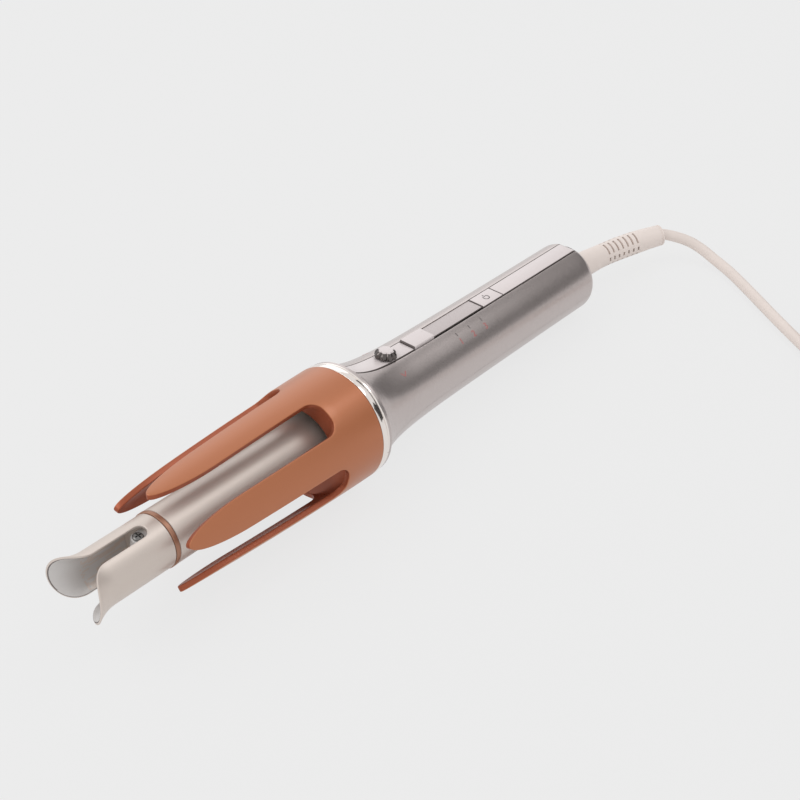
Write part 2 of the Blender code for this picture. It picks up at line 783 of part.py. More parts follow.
def channel_outline(margin, front_x, rear_x):
    sides = [(front_x, strip_nose_half_width + margin), (strip_taper_end_x, strip_half_width + margin)]
    sides.append((rear_x, strip_half_width + margin))
    return sides + [(x, -y) for x, y in reversed(sides)]


def prism(outline, z_low, z_high):
    """A plan outline stood up between two heights."""
    bm = bmesh.new()
    face = bm.faces.new([bm.verts.new((x, y, z_low)) for x, y in outline])
    extruded = bmesh.ops.extrude_face_region(bm, geom=[face])["geom"]
    top = [item for item in extruded if isinstance(item, bmesh.types.BMVert)]
    bmesh.ops.translate(bm, verts=top, vec=(0, 0, z_high - z_low))
    return bm


def build_handle(materials, axis):
    upper = build_shell("handle_upper_shell", materials["champagne"], axis, 0, upper_shell_sweep, upper_shell_steps)
    outline = channel_outline(groove_width, strip_front_x - groove_width, strip_rear_x + groove_width)
    channel = prism(outline, board_top_z, handle_lip_r + overrun)
    combine(upper, add_cutter("strip_channel", channel, axis))
    lower = build_shell(
        "handle_lower_shell", materials["champagne"], axis, half_turn, lower_shell_sweep, lower_shell_steps)
    return upper, lower


def strip_stations(x_low, x_high):
    inside = [x for x in flare_stations() if x_low + overlap_bite < x < x_high - overlap_bite]
    if x_low < strip_taper_end_x < x_high:
        inside.append(strip_taper_end_x)
    return [x_low] + sorted(inside) + [x_high]


def strip_piece(x_low, x_high, raised=0.0):
    """A plate that follows the handle's surface between two stations."""
    sections = []
    for x in strip_stations(x_low, x_high):
        half_width = strip_half_width_at(x)
        top = strip_top(x) + raised
        bottom = strip_top(x) - strip_thickness
        sections.append([(x, -half_width, bottom), (x, half_width, bottom), (x, half_width, top), (x, -half_width, top)])
    return loft(sections)


def build_strip(materials, axis, knob_frame):
    front = add_part("front_fascia", strip_piece(strip_front_x, front_fascia_end_x), materials["gloss"], axis)
    combine(front, knob_hole("fascia_knob_hole", knob_frame))
    add_part("display_panel", strip_piece(display_x, display_x + display_length, -display_sunk),
             materials["display"], axis)
    add_part("rear_fascia", strip_piece(rear_fascia_x, strip_rear_x), materials["gloss"], axis)


def button_centre(x_low, length):
    return x_low + length / 2


def build_button(name, materials, frame, x_low, length, raised, travel):
    """A strip button whose stem ends just above its switch, with room for its travel."""
    bm = strip_piece(x_low, x_low + length, raised)
    centre_x = button_centre(x_low, length)
    bmesh.ops.translate(bm, verts=bm.verts, vec=(-centre_x, 0, 0))
    button = add_part(name, bm, materials["gloss"], frame)
    switch_top = board_top_z + seat_gap + switch_height() + switch_cap_height
    stem_top = strip_top(centre_x) - strip_thickness + overlap_bite
    stem = block(-stem_half_width, stem_half_width, -stem_half_width, stem_half_width,
                 switch_top + seat_gap + travel, stem_top)
    combine(button, add_cutter(name + "_stem", stem, frame), "UNION")
    return round_edges(button, button_edge)


def knob_tilt():
    drop = strip_top(knob_x - knob_r) - strip_top(knob_x + knob_r)
    return math.atan2(drop, 2 * knob_r)


def scalloped_outline(points_per_scallop=4):
    outline = []
    count = knob_scallops * points_per_scallop
    for index in range(count):
        angle = full_turn * index / count
        dip = abs(math.sin(angle * knob_scallops / 2))
        radius = knob_r - knob_scallop_depth * (1 - dip ** 0.8)
        outline.append((radius * math.cos(angle), radius * math.sin(angle)))
    return outline


def knob_hole(name, knob_frame):
    hole = upright(rod(-knob_r * 2, knob_r, knob_shaft_r + knob_shaft_clearance))
    return add_cutter(name, hole, knob_frame)


def build_knob(materials, knob_frame):
    """Scalloped knob on a short neck; its shaft runs down into the switch."""
    knob = add_part("direction_knob", prism(scalloped_outline(), knob_lift, knob_lift + knob_height),
                    materials["gloss"], knob_frame)
    switch_top = board_top_z + seat_gap + direction_switch_height
    shaft_bottom = switch_top + seat_gap - strip_top(knob_x)
    profile = ((shaft_bottom, 0), (shaft_bottom, knob_shaft_r), (seat_gap, knob_shaft_r), (seat_gap, knob_neck_r),
               (knob_lift + overlap_bite, knob_neck_r), (knob_lift + overlap_bite, 0))
    combine(knob, add_cutter("knob_shaft", upright(lathe(profile, small_segments)), knob_frame), "UNION")
    return round_edges(knob, knob_edge)


def carrier_section(x):
    base_top = math.sqrt((handle_radius(x) - handle_wall) ** 2 - carrier_half_width ** 2) - seat_gap
    base_bottom = base_top - carrier_thickness
    rib_top = strip_top(x) - strip_thickness - seat_gap
    rib = min(carrier_rib_half_width, strip_half_width_at(x) - seat_gap)
    half = [(carrier_half_width, base_bottom), (carrier_half_width, base_top), (rib, base_top), (rib, rib_top)]
    return [(x, y, z) for y, z in half] + [(x, -y, z) for y, z in reversed(half)]


def notch_for_carrier(part, axis, x_low, x_high):
    """Cut the top of a round piece away where the carrier passes over it."""
    reach = carrier_half_width + seat_gap
    notch_z = carrier_section(x_high)[0][2] - seat_gap
    notch = block(x_low - overrun, x_high + overrun, -reach, reach, notch_z, handle_lip_r)
    combine(part, add_cutter(part.name + "_notch", notch, axis))


def hanger_places():
    """Between the knob's switch and the next, between that and the first lamp, and at the rear."""
    start_centre = button_centre(start_button_x, start_button_length)
    first_led = display_x + (display_length - led_pitch * (led_count - 1)) / 2
    return [
        (knob_x + direction_switch_half_width + start_centre - switch_half_width) / 2,
        (start_centre + switch_half_width + first_led - led_half_width) / 2,
        board_rear_x - hanger_rear_margin]


def switch_height():
    """What the board and the carrier's underside leave for a switch."""
    underside = carrier_section(button_centre(power_button_x, power_button_length))[0][2]
    return underside - board_top_z - seat_gap - switch_clearance


def build_carrier(materials, axis, knob_frame):
    """Dark tray under the strip: it closes the grooves and holds the board."""
    front_x = strip_front_x + carrier_end_gap
    rear_x = strip_rear_x - carrier_end_gap
    bm = loft([carrier_section(x) for x in strip_stations(front_x, rear_x)])
    carrier = add_part("control_carrier", bm, materials["black"], axis)
    hangers = []
    for x in hanger_places():
        bottom = carrier_section(x)[0][2]
        hangers.append(block(
            x - hanger_thickness / 2, x + hanger_thickness / 2, -hanger_half_width, hanger_half_width,
            board_top_z + seat_gap, bottom + overlap_bite))
    combine(carrier, add_cutter("board_hangers", join(hangers), axis), "UNION")
    wells = []
    for x_low, length in ((start_button_x, start_button_length), (power_button_x, power_button_length)):
        centre_x = button_centre(x_low, length)
        base_top = carrier_section(centre_x)[1][2]
        wells.append(block(
            x_low - strip_joint, x_low + length + strip_joint, -strip_half_width - overrun,
            strip_half_width + overrun, base_top - seat_gap / 2, handle_lip_r))
        reach = stem_half_width + stem_clearance
        wells.append(block(centre_x - reach, centre_x + reach, -reach, reach,
                           board_top_z + overrun, base_top + overlap_bite))
    for index, well in enumerate(wells):
        combine(carrier, add_cutter("button_well_%d" % index, well, axis))
    combine(carrier, knob_hole("carrier_knob_hole", knob_frame))
    return carrier


def build_board(materials, axis):
    bottom = board_top_z - board_thickness
    board = block(board_front_x, board_rear_x, -board_half_width, board_half_width, bottom, board_top_z)
    add_part("control_board", board, materials["board"], axis)
    floor_z = board_top_z + seat_gap
    for name, x_low, length in (
            ("start_switch", start_button_x, start_button_length),
            ("power_switch", power_button_x, power_button_length)):
        centre_x = button_centre(x_low, length)
        body = block(centre_x - switch_half_width, centre_x + switch_half_width,
                     -switch_half_width, switch_half_width, floor_z, floor_z + switch_height())
        switch = add_part(name, body, materials["black"], axis)
        cap = upright(rod(
            switch_height() - overlap_bite, switch_height() + switch_cap_height, switch_cap_r, screw_segments))
        bmesh.ops.translate(cap, verts=cap.verts, vec=(centre_x, 0, floor_z))
        combine(switch, add_cutter(name + "_cap", cap, axis), "UNION")
    reach = direction_switch_half_width
    body = block(knob_x - reach, knob_x + reach, -reach, reach, floor_z, floor_z + direction_switch_height)
    add_part("direction_switch", body, materials["black"], axis)
    display_centre = display_x + display_length / 2
    for index in range(led_count):
        x = display_centre + led_pitch * (index - (led_count - 1) / 2)
        led = block(x - led_half_width, x + led_half_width, -led_half_width, led_half_width,
                    floor_z, floor_z + led_height)
        add_part("indicator_led_%d" % (index + 1), led, materials["ceramic"], axis)
    under_z = bottom - seat_gap
    capacitor_rear = board_rear_x - capacitor_rear_margin
    capacitor = rod(capacitor_rear - capacitor_length, capacitor_rear, capacitor_r, small_segments,
                    (0, under_z - capacitor_r))
    add_part("main_capacitor", capacitor, materials["aluminium"], axis)
    module_rear = capacitor_rear - capacitor_length - power_module_spacing
    module = block(module_rear - power_module_length, module_rear, -power_module_half_width,
                   power_module_half_width, under_z - power_module_height, under_z)
    add_part("power_module", module, materials["black"], axis)


def build_barrel(materials, spin):
    """The turning assembly: heated tube, split tip, heater, hub, gear and slip rings."""
    inner_r = barrel_r - barrel_wall
    tube = lathe(((0, inner_r), (0, barrel_r), (barrel_length, barrel_r), (barrel_length, inner_r)), barrel_segments)
    add_part("barrel_tube", tube, materials["champagne"], spin)
    ring_inner = spigot_r + seat_gap
    ring_outer = barrel_r + tip_ring_proud
    ring = lathe((
        (tip_ring_front_x, ring_inner), (tip_ring_front_x, ring_outer),
        (-seat_gap, ring_outer), (-seat_gap, ring_inner)), barrel_segments)
    add_part("tip_ring", ring, materials["bronze"], spin)
    build_fork(materials, spin)
    build_heater(materials, spin, inner_r)
    build_hub(materials, spin, inner_r)


def build_fork(materials, spin):
    """Split tip: two flared wings on a floor, with a spigot that plugs into the barrel."""
    half_angle = quarter_turn
    half_arc = half_angle * fork_r
    gap_half = fork_gap / 2
    half_width = half_arc - gap_half
    outline = finger_outline(
        fork_front_x, fork_front_x + fork_gap_depth, fork_rear_x, half_width,
        wing_round_length, half_arc, gap_half, 4)
    row_shares = (0.06, 0.12, 0.18, 0.24, 0.29)
    rows = [fork_front_x + share * fork_length for share in row_shares]
    sleeve = wrapped_sleeve(
        outline, half_angle, 2, fork_roll + quarter_turn, fork_radius, fork_r, fork_wall, 0, 16, rows)
    fork = add_part("tip_fork", sleeve, materials["champagne"], spin)
    seat_r = fork_r - fork_wall / 2
    hole_r = tip_screw_r + seat_gap
    step_x = fork_rear_x - overlap_bite
    floor_rear_x = fork_floor_x + fork_floor_thickness
    inner_r = spigot_r - spigot_wall
    floor = lathe((
        (fork_floor_x, hole_r), (fork_floor_x, seat_r), (step_x, seat_r), (step_x, spigot_r),
        (spigot_length, spigot_r), (spigot_length, inner_r), (floor_rear_x, inner_r), (floor_rear_x, hole_r)),
        round_segments, fork_roll)
    combine(fork, add_cutter("fork_floor", floor, spin), "UNION")
    head_x = fork_floor_x - seat_gap
    tip = screw(head_x + tip_screw_length, head_x, head_x - tip_screw_head_height, tip_screw_r, tip_screw_head_r)
    add_part("tip_screw", tip, materials["steel"], spin)


def build_heater(materials, spin, inner_r):
    """Two half-round blocks clamp a flat ceramic heater against the tube."""
    radius = inner_r - heater_clearance
    split = heater_plate_thickness / 2 + seat_gap
    turn = math.asin(split / radius)
    for name, lean in (("heater_upper_block", 0), ("heater_lower_block", half_turn)):
        steps = 20
        start = turn - quarter_turn
        sweep = half_turn - 2 * turn
        arc = [around(0, radius, start + sweep * step / steps + lean) for step in range(steps + 1)]
        sections = [[(x, point.y, point.z) for point in arc] for x in (heater_front_x, heater_rear_x)]
        add_part(name, loft(sections), materials["aluminium"], spin)
    plate_front = heater_front_x + tip_screw_length
    plate = block(plate_front, heater_rear_x - heater_plate_setback, -heater_plate_half_width, heater_plate_half_width,
                  -heater_plate_thickness / 2, heater_plate_thickness / 2)
    add_part("heater_plate", plate, materials["ceramic"], spin)
    fuse_front = heater_rear_x - heater_plate_setback + seat_gap
    fuse = rod(fuse_front, fuse_front + fuse_length, fuse_r - seat_gap, screw_segments, (fuse_offset, 0))
    add_part("thermal_fuse", fuse, materials["ceramic"], spin)


def build_hub(materials, spin, inner_r):
    plug_r = inner_r - seat_gap
    collar_x = barrel_length + seat_gap
    plug_x = barrel_length - hub_plug_length
    mouth_r = plug_r - spigot_wall
    profile = (
        (plug_x, mouth_r), (plug_x, plug_r), (collar_x, plug_r), (collar_x, barrel_r),
        (hub_collar_rear_x, barrel_r), (hub_collar_rear_x, shaft_r), (shaft_rear_x, shaft_r),
        (shaft_rear_x, shaft_bore_r), (barrel_length, shaft_bore_r), (barrel_length, mouth_r))
    add_part("barrel_hub", lathe(profile, round_segments), materials["black"], spin)
    gear = gear_blank(drive_teeth, gear_front_x, gear_rear_x, half_turn / drive_teeth)
    drive = add_part("drive_gear", gear, materials["ptfe"], spin, math.radians(25))
    bore = rod(gear_front_x - overrun, gear_rear_x + overrun, shaft_r + seat_gap, round_segments)
    combine(drive, add_cutter("drive_gear_bore", bore, spin))
    inner = shaft_r + seat_gap
    for index, x in enumerate(slip_ring_places()):
        end_x = x + slip_ring_width
        ring = lathe(((x, inner), (x, slip_ring_r), (end_x, slip_ring_r), (end_x, inner)), small_segments)
        add_part("slip_ring_%d" % (index + 1), ring, materials["brass"], spin)


def slip_ring_places():
    first = shaft_rear_x - slip_ring_margin - slip_ring_pitch * slip_ring_count
    return [first + slip_ring_pitch * index for index in range(slip_ring_count)]


def involute_point(base_r, radius):
    """Polar angle of the involute of a base circle where it reaches a radius."""
    if radius <= base_r:
        return 0.0
    roll = math.sqrt((radius / base_r) ** 2 - 1)
    return roll - math.atan(roll)


def gear_outline(teeth):
    pitch_r = gear_module * teeth / 2
    base_r = pitch_r * math.cos(gear_pressure_angle)
    tip_r = pitch_r + gear_module * gear_addendum_share
    root_r = pitch_r - gear_module * gear_dedendum_share
    half_tooth = half_turn / teeth / 2 - gear_backlash / 4 / pitch_r
    half_base = half_tooth + involute_point(base_r, pitch_r)
    radii = [root_r, max(base_r, root_r + weld_distance)]
    radii += [radii[1] + (tip_r - radii[1]) * step / 2 for step in (1, 2)]
    outline = []
    for tooth in range(teeth):
        centre = full_turn * tooth / teeth
        flank = [(radius, half_base - involute_point(base_r, radius)) for radius in radii]
        outline += [(radius, centre - half) for radius, half in flank]
        outline += [(radius, centre + half) for radius, half in reversed(flank)]
    return outline


def gear_blank(teeth, x_low, x_high, roll):
    outline = gear_outline(teeth)
    return loft([[around(x, radius, angle + roll) for radius, angle in outline] for x in (x_low, x_high)])


def build_pinion(materials, pinion_frame):
    pinion = add_part("motor_pinion", gear_blank(pinion_teeth, gear_front_x, gear_rear_x, 0),
                      materials["brass"], pinion_frame, math.radians(25))
    shaft = rod(gear_rear_x - overlap_bite, plate_rear_x + pinion_shaft_length, pinion_shaft_r, screw_segments)
    combine(pinion, add_cutter("pinion_shaft", shaft, pinion_frame), "UNION")
    return pinion


def build_motor(materials, axis):
    """Plate across the handle with the rear bush, and the gear motor hung on it."""
    plate_r = handle_radius(plate_rear_x) - handle_wall - plate_rim_clearance
    plate = add_part("motor_plate", rod(plate_front_x, plate_rear_x, plate_r, round_segments),
                     materials["steel"], axis)
    bush_r = shaft_r + running_gap + rear_bush_wall
    bore = rod(plate_front_x - overrun, plate_rear_x + overrun, bush_r + seat_gap, small_segments)
    combine(plate, add_cutter("plate_bore", bore, axis))
    motor_z = -gear_centre_distance
    shaft_hole = rod(plate_front_x - overrun, plate_rear_x + overrun, pinion_shaft_r + seat_gap * 2,
                     small_segments, (0, motor_z))
    combine(plate, add_cutter("plate_shaft_hole", shaft_hole, axis))
    notch_for_carrier(plate, axis, plate_front_x, plate_rear_x)
    bush_front = plate_front_x - seat_gap - rear_bush_flange
    inner = shaft_r + running_gap
    bush = lathe((
        (bush_front, inner), (bush_front, rear_bush_flange_r), (bush_front + rear_bush_flange, rear_bush_flange_r),
        (bush_front + rear_bush_flange, bush_r), (bush_front + rear_bush_length, bush_r),
        (bush_front + rear_bush_length, inner)), small_segments)
    add_part("rear_bush", bush, materials["brass"], axis)
    build_gear_motor(materials, axis, plate, motor_z)


def build_gear_motor(materials, axis, plate, motor_z):
    gearbox_front = plate_rear_x + seat_gap
    gearbox_rear = gearbox_front + gearbox_length
    low_z = motor_z - motor_half_height
    high_z = motor_z + motor_half_height
    box = block(gearbox_front, gearbox_rear, -motor_half_width, motor_half_width, low_z, high_z)
    gearbox = add_part("motor_gearbox", box, materials["brass"], axis)
    bore = rod(gearbox_front - overrun, plate_rear_x + pinion_shaft_length + seat_gap,
               pinion_shaft_r + seat_gap, small_segments, (0, motor_z))
    combine(gearbox, add_cutter("gearbox_bore", bore, axis))
    can = block(gearbox_rear + seat_gap, gearbox_rear + seat_gap + motor_can_length,
                -motor_half_width, motor_half_width, low_z, high_z)
    round_edges(add_part("motor_can", can, materials["steel"], axis), motor_edge, 2)
    places = [(side * motor_screw_spread, motor_z) for side in (-1, 1)]
    holes = [rod(plate_front_x - overrun, plate_rear_x + overrun, motor_screw_r + seat_gap, screw_segments, place)
             for place in places]
    combine(plate, add_cutter("plate_screw_holes", join(holes), axis))
    grip_x = gearbox_front + motor_screw_grip
    holes = [rod(gearbox_front - overrun, grip_x + seat_gap, motor_screw_r + seat_gap, screw_segments, place)
             for place in places]
    combine(gearbox, add_cutter("gearbox_screw_holes", join(holes), axis))
    neck_x = plate_front_x - seat_gap
    for index, place in enumerate(places):
        fastener = screw(grip_x, neck_x, neck_x - motor_screw_head_height, motor_screw_r, motor_screw_head_r, place)
        add_part("motor_screw_%d" % (index + 1), fastener, materials["steel"], axis)


def build_brushes(materials, axis):
    """Saddle under the board whose carbon brushes feed the slip rings."""
    block_low = slip_ring_r * brush_saddle_share
    block_high = board_top_z - board_thickness - seat_gap
    places = [x + slip_ring_width / 2 for x in slip_ring_places()]
    body = block(places[0] - slip_ring_width, places[-1] + slip_ring_width,
                 -brush_block_half_width, brush_block_half_width, block_low, block_high)
    holder = add_part("brush_block", body, materials["black"], axis)
    pockets = []
    for index, x in enumerate(places):
        brush = block(x - brush_half_width, x + brush_half_width, -brush_half_length, brush_half_length,
                      slip_ring_r + seat_gap, block_high - seat_gap)
        add_part("carbon_brush_%d" % (index + 1), brush, materials["carbon"], axis)
        reach = brush_half_width + seat_gap
        side = brush_half_length + seat_gap
        pockets.append(block(x - reach, x + reach, -side, side, block_low - overrun, block_high + overrun))
    combine(holder, add_cutter("brush_pockets", join(pockets), axis))
    saddle = rod(places[0] - slip_ring_width - overrun, places[-1] + slip_ring_width + overrun,
                 slip_ring_r + seat_gap, round_segments)
    combine(holder, add_cutter("brush_saddle", saddle, axis))


def build_swivel_seat(materials, axis):
    """Socket and retainer in the handle's rear end; the relief's flange turns between them."""
    seat_r = handle_rear_r - handle_wall - seat_gap
    bore = neck_r + seat_gap
    lip_r = handle_bore_r - seat_gap
    lip_x = handle_rear_x - socket_rear_inset
    bevel = handle_shoulder / 2
    socket = lathe((
        (socket_front_x, bore), (socket_front_x, seat_r), (shoulder_x - bevel, seat_r),
        (socket_rear_x, seat_r - handle_shoulder), (socket_rear_x, lip_r), (lip_x, lip_r), (lip_x, bore)),
        round_segments)
    seat = add_part("swivel_socket", socket, materials["black"], axis)
    notch_for_carrier(seat, axis, socket_front_x, socket_rear_x)
    retainer_rear = swivel_flange_front_x - seat_gap
    retainer = lathe((
        (retainer_rear - retainer_thickness, retainer_bore_r), (retainer_rear - retainer_thickness, seat_r),
        (retainer_rear, seat_r), (retainer_rear, retainer_bore_r)), round_segments)
    keeper = add_part("swivel_retainer", retainer, materials["black"], axis)
    notch_for_carrier(keeper, axis, retainer_rear - retainer_thickness, retainer_rear)


def relief_end_direction():
    level = math.cos(relief_lift)
    return Vector((level * math.cos(relief_bend), level * math.sin(relief_bend), math.sin(relief_lift)))


def relief_point(share):
    """Centre line of the relief: it leaves along the axis and bends evenly to its end direction."""
    start = Vector((handle_rear_x, 0, 0))
    out = Vector((1, 0, 0))
    end_out = relief_end_direction()
    chord = (out + end_out).normalized() * relief_length
    end = start + chord
    handle_length_of_curve = relief_length / 3
    first = start + out * handle_length_of_curve
    second = end - end_out * handle_length_of_curve
    rest = 1 - share
    return (start * rest ** 3 + first * (3 * rest ** 2 * share)
            + second * (3 * rest * share ** 2) + end * share ** 3)


def relief_heading(share):
    step = 0.01
    low = relief_point(max(0.0, share - step))
    high = relief_point(min(1.0, share + step))
    return (high - low).normalized()


def relief_frame(share):
    heading = relief_heading(share)
    side = Vector((0, 0, 1)).cross(heading).normalized()
    return relief_point(share), heading, side, heading.cross(side)


def ring_about(centre, side, lift, radius, count):
    points = []
    for index in range(count):
        angle = full_turn * index / count
        points.append(centre + side * radius * math.cos(angle) + lift * radius * math.sin(angle))
    return points


def build_relief(materials, swivel):
    """Bent strain relief with a swivel flange inside the handle and rows of flex slots."""
    side = Vector((0, 1, 0))
    lift = Vector((0, 0, 1))
    sections = []
    for x, radius in (
            (swivel_flange_front_x, swivel_flange_r), (swivel_flange_rear_x, swivel_flange_r),
            (swivel_flange_rear_x, neck_r)):
        sections.append(ring_about(Vector((x, 0, 0)), side, lift, radius, relief_segments))
    for step in range(relief_steps + 1):
        share = step / relief_steps
        centre, heading, across, upward = relief_frame(share)
        radius = neck_r * relief_radius_shares[step]
        sections.append(ring_about(centre, across, upward, radius, relief_segments))
    relief = add_part("strain_relief", loft(sections), materials["cream"], swivel)
    combine(relief, add_cutter("relief_slots", relief_slots(), swivel))
    return relief


def relief_slots():
    slots = []
    for index in range(relief_slot_count):
        spread = relief_slot_last_share - relief_slot_first_share
        share = relief_slot_first_share + spread * index / (relief_slot_count - 1)
        centre, heading, across, upward = relief_frame(share)
        radius = neck_r * interpolate(share * relief_steps, range(relief_steps + 1), relief_radius_shares)
        for row in range(relief_slot_rows):
            angle = relief_slot_roll + full_turn * row / relief_slot_rows
            outward = upward * math.cos(angle) - across * math.sin(angle)
            along = across * math.cos(angle) + upward * math.sin(angle)
            length = relief_short_slot if row % 2 else relief_long_slot
            slots.append(slot_block(centre + outward * radius, heading, along, outward, length))
    return join(slots)


def slot_block(centre, heading, along, outward, length):
    """A slot across the relief; every second row has the shorter ones."""
    half = relief_slot_width / 2
    reach = length / 2
    bm = block(-half, half, -reach, reach, -relief_slot_depth, overrun)
    turn = Matrix((heading, along, outward)).transposed().to_4x4()
    bmesh.ops.transform(bm, matrix=Matrix.Translation(centre) @ turn, verts=bm.verts)
    return bm


def smooth_curve(points, samples=24):
    """A centripetal curve through the route's own points, sampled closely."""
    knots = [2 * points[0] - points[1]] + list(points) + [2 * points[-1] - points[-2]]
    curve = []
    for before, first, last, after in zip(knots, knots[1:], knots[2:], knots[3:]):
        for step in range(samples):
            curve.append(curve_point(before, first, last, after, step / samples))
    curve.append(points[-1])
    return curve


def curve_point(before, first, last, after, share):
    """One point of a centripetal curve, between its two middle knots."""
    knots = [before, first, last, after]
    times = [0.0]
    for low, high in zip(knots, knots[1:]):
        times.append(times[-1] + math.sqrt((high - low).length))
    moment = times[1] + (times[2] - times[1]) * share
    edges = [between(knots[index], knots[index + 1], times[index], times[index + 1], moment) for index in range(3)]
    chords = [between(edges[index], edges[index + 1], times[index], times[index + 2], moment) for index in range(2)]
    return between(chords[0], chords[1], times[1], times[2], moment)


def between(first, last, first_time, last_time, moment):
    return first + (last - first) * ((moment - first_time) / (last_time - first_time))


def spaced(curve, spacing):
    """Points at even distances along a closely sampled curve, with both its ends."""
    lengths = [0.0]
    for low, high in zip(curve, curve[1:]):
        lengths.append(lengths[-1] + (high - low).length)
    count = max(2, round(lengths[-1] / spacing))
    result = []
    index = 0
    for step in range(count + 1):
        target = lengths[-1] * step / count
        while index < len(lengths) - 2 and lengths[index + 1] < target:
            index += 1
        share = (target - lengths[index]) / (lengths[index + 1] - lengths[index])
        result.append(curve[index].lerp(curve[index + 1], share))
    return result


def tube(name, points, material, parent, resolution):
    """A round tube along a run of points, with filled ends."""
    data = bpy.data.curves.new(name, "CURVE")
    data.dimensions = "3D"
    data.bevel_depth = cord_r
    data.bevel_resolution = resolution
    data.use_fill_caps = True
    spline = data.splines.new("POLY")
    spline.points.add(len(points) - 1)
    for slot, point in zip(spline.points, points):
        slot.co = (*point, 1.0)
    data.materials.append(material)
    cord = bpy.data.objects.new(name, data)
    cord.parent = parent
    bpy.context.scene.collection.objects.link(cord)
    return cord


def coil_point(turns_from_middle):
    """Steady spiral in and out again; it climbs a layer in the half turn about the middle."""
    rise = min(1.0, max(0.0, turns_from_middle * 2 + 0.5))
    radius = coil_inner_r + coil_pitch * abs(turns_from_middle)
    angle = coil_entry_angle + full_turn * (turns_from_middle + coil_turns / 2)
    height = cord_r + coil_lift + coil_pitch * rise
    return Vector((coil_centre.x + radius * math.cos(angle), coil_centre.y + radius * math.sin(angle), height))


def coil_heading(turns_from_middle):
    angle = coil_entry_angle + full_turn * (turns_from_middle + coil_turns / 2)
    return Vector((-math.sin(angle), math.cos(angle), 0))


def coil_points():
    """The coil's turns with a straight stretch of one cord diameter at each end."""
    half = coil_turns / 2
    steps = round(coil_turns * coil_points_per_turn)
    turns = [coil_point(-half + coil_turns * step / steps) for step in range(steps + 1)]
    first = turns[0] - coil_heading(-half) * 2 * cord_r
    last = turns[-1] + coil_heading(half) * 2 * cord_r
    return [first] + turns + [last]


def segment_distance(first, last, other_first, other_last, samples=5):
    nearest = math.inf
    for step in range(samples + 1):
        point = first.lerp(last, step / samples)
        along = other_last - other_first
        share = (point - other_first).dot(along) / along.length_squared
        foot = other_first + along * min(1.0, max(0.0, share))
        nearest = min(nearest, (point - foot).length)
    return nearest


def least_self_gap(points):
    """Smallest gap between stretches of the coil that lie at least half a turn apart."""
    apart = coil_points_per_turn // 2
    nearest = math.inf
    for index in range(len(points) - 1):
        for other in range(index + apart, len(points) - 1):
            if (points[index] - points[other]).length > coil_pitch * 3:
                continue
            distance = segment_distance(points[index], points[index + 1], points[other], points[other + 1])
            nearest = min(nearest, distance)
    return nearest - 2 * cord_r


def route_length(points):
    return sum((high - low).length for low, high in zip(points, points[1:]))


def plug_back():
    last = cord_origin + Vector(tail_route[-1])
    heading = Vector((math.cos(plug_heading), math.sin(plug_heading), 0))
    return last + heading * seat_gap, heading


def build_cord(materials, table, swivel, axis):
    """Lead from the relief to the coil, the coil, and the tail to the plug."""
    bpy.context.view_layer.update()
    exit_point = axis.matrix_world @ relief_point(1.0)
    exit_heading = (axis.matrix_world.to_3x3() @ relief_end_direction()).normalized()
    start = exit_point + exit_heading * seat_gap
    coil = coil_points()
    entry_heading = (coil[1] - coil[0]).normalized()
    leave_heading = (coil[-1] - coil[-2]).normalized()
    entry = coil[0] - entry_heading * seat_gap
    leave = coil[-1] + leave_heading * seat_gap
    lead_in = entry - entry_heading * 2 * cord_r
    route = [start, start + exit_heading * cord_r] + [cord_origin + Vector(point) for point in cord_route] + [lead_in, entry]
    lead = spaced(smooth_curve(route), cord_point_spacing)
    lead = [lead[0], lead[0] + exit_heading * 2 * cord_r] + lead[1:-1] + [lead_in, entry]
    tail_heading = plug_back()[1]
    tail_middle = [cord_origin + Vector(point) for point in tail_route]
    tail_end = tail_middle.pop()
    tail_route_points = [leave, leave + leave_heading * 2 * cord_r] + tail_middle
    tail_route_points += [tail_end - tail_heading * 2 * cord_r, tail_end]
    tail = spaced(smooth_curve(tail_route_points), cord_point_spacing)
    tail = [tail[0], leave + leave_heading * 2 * cord_r] + tail[1:-1] + [tail_end - tail_heading * 2 * cord_r, tail_end]
    tube("power_cord", lead, materials["cream"], swivel, 2)
    tube("cord_coil", coil, materials["cream"], swivel, 1)
    tube("cord_tail", tail, materials["cream"], swivel, 2)
    for name in ("power_cord", "cord_coil", "cord_tail"):
        bpy.data.objects[name].matrix_parent_inverse = swivel.matrix_world.inverted()
    print("least gap of the coil to itself, mm: %.2f" % (least_self_gap(coil) / mm))
    print("cord length, mm: %.0f" % ((route_length(lead) + route_length(coil) + route_length(tail)) / mm))
    build_tie(materials, swivel)
    build_plug(materials, swivel)


def build_tie(materials, swivel):
    """Strap round the turns, closed under them."""
    outer_r = coil_inner_r + coil_pitch * coil_turns / 2 + cord_r
    inner_r = coil_inner_r - cord_r
    top = coil_lift + coil_pitch + 2 * cord_r + tie_slack
    bottom = coil_lift - tie_slack
    outer = block(-tie_width / 2, tie_width / 2, inner_r - tie_slack - tie_thickness,
                  outer_r + tie_slack + tie_thickness, bottom - tie_thickness, top + tie_thickness)
    strap = add_part("cord_tie", outer, materials["black"], swivel)
    window = block(-tie_width / 2 - overrun, tie_width / 2 + overrun, inner_r - tie_slack, outer_r + tie_slack,
                   bottom, top)
    turn = Matrix.Rotation(tie_angle - quarter_turn, 4, "Z")
    place = Matrix.Translation((coil_centre.x, coil_centre.y, 0)) @ turn
    cutter = add_cutter("tie_window", window, swivel)
    for item in (strap, cutter):
        item.matrix_parent_inverse = swivel.matrix_world.inverted()
        item.matrix_basis = place
    combine(strap, cutter)


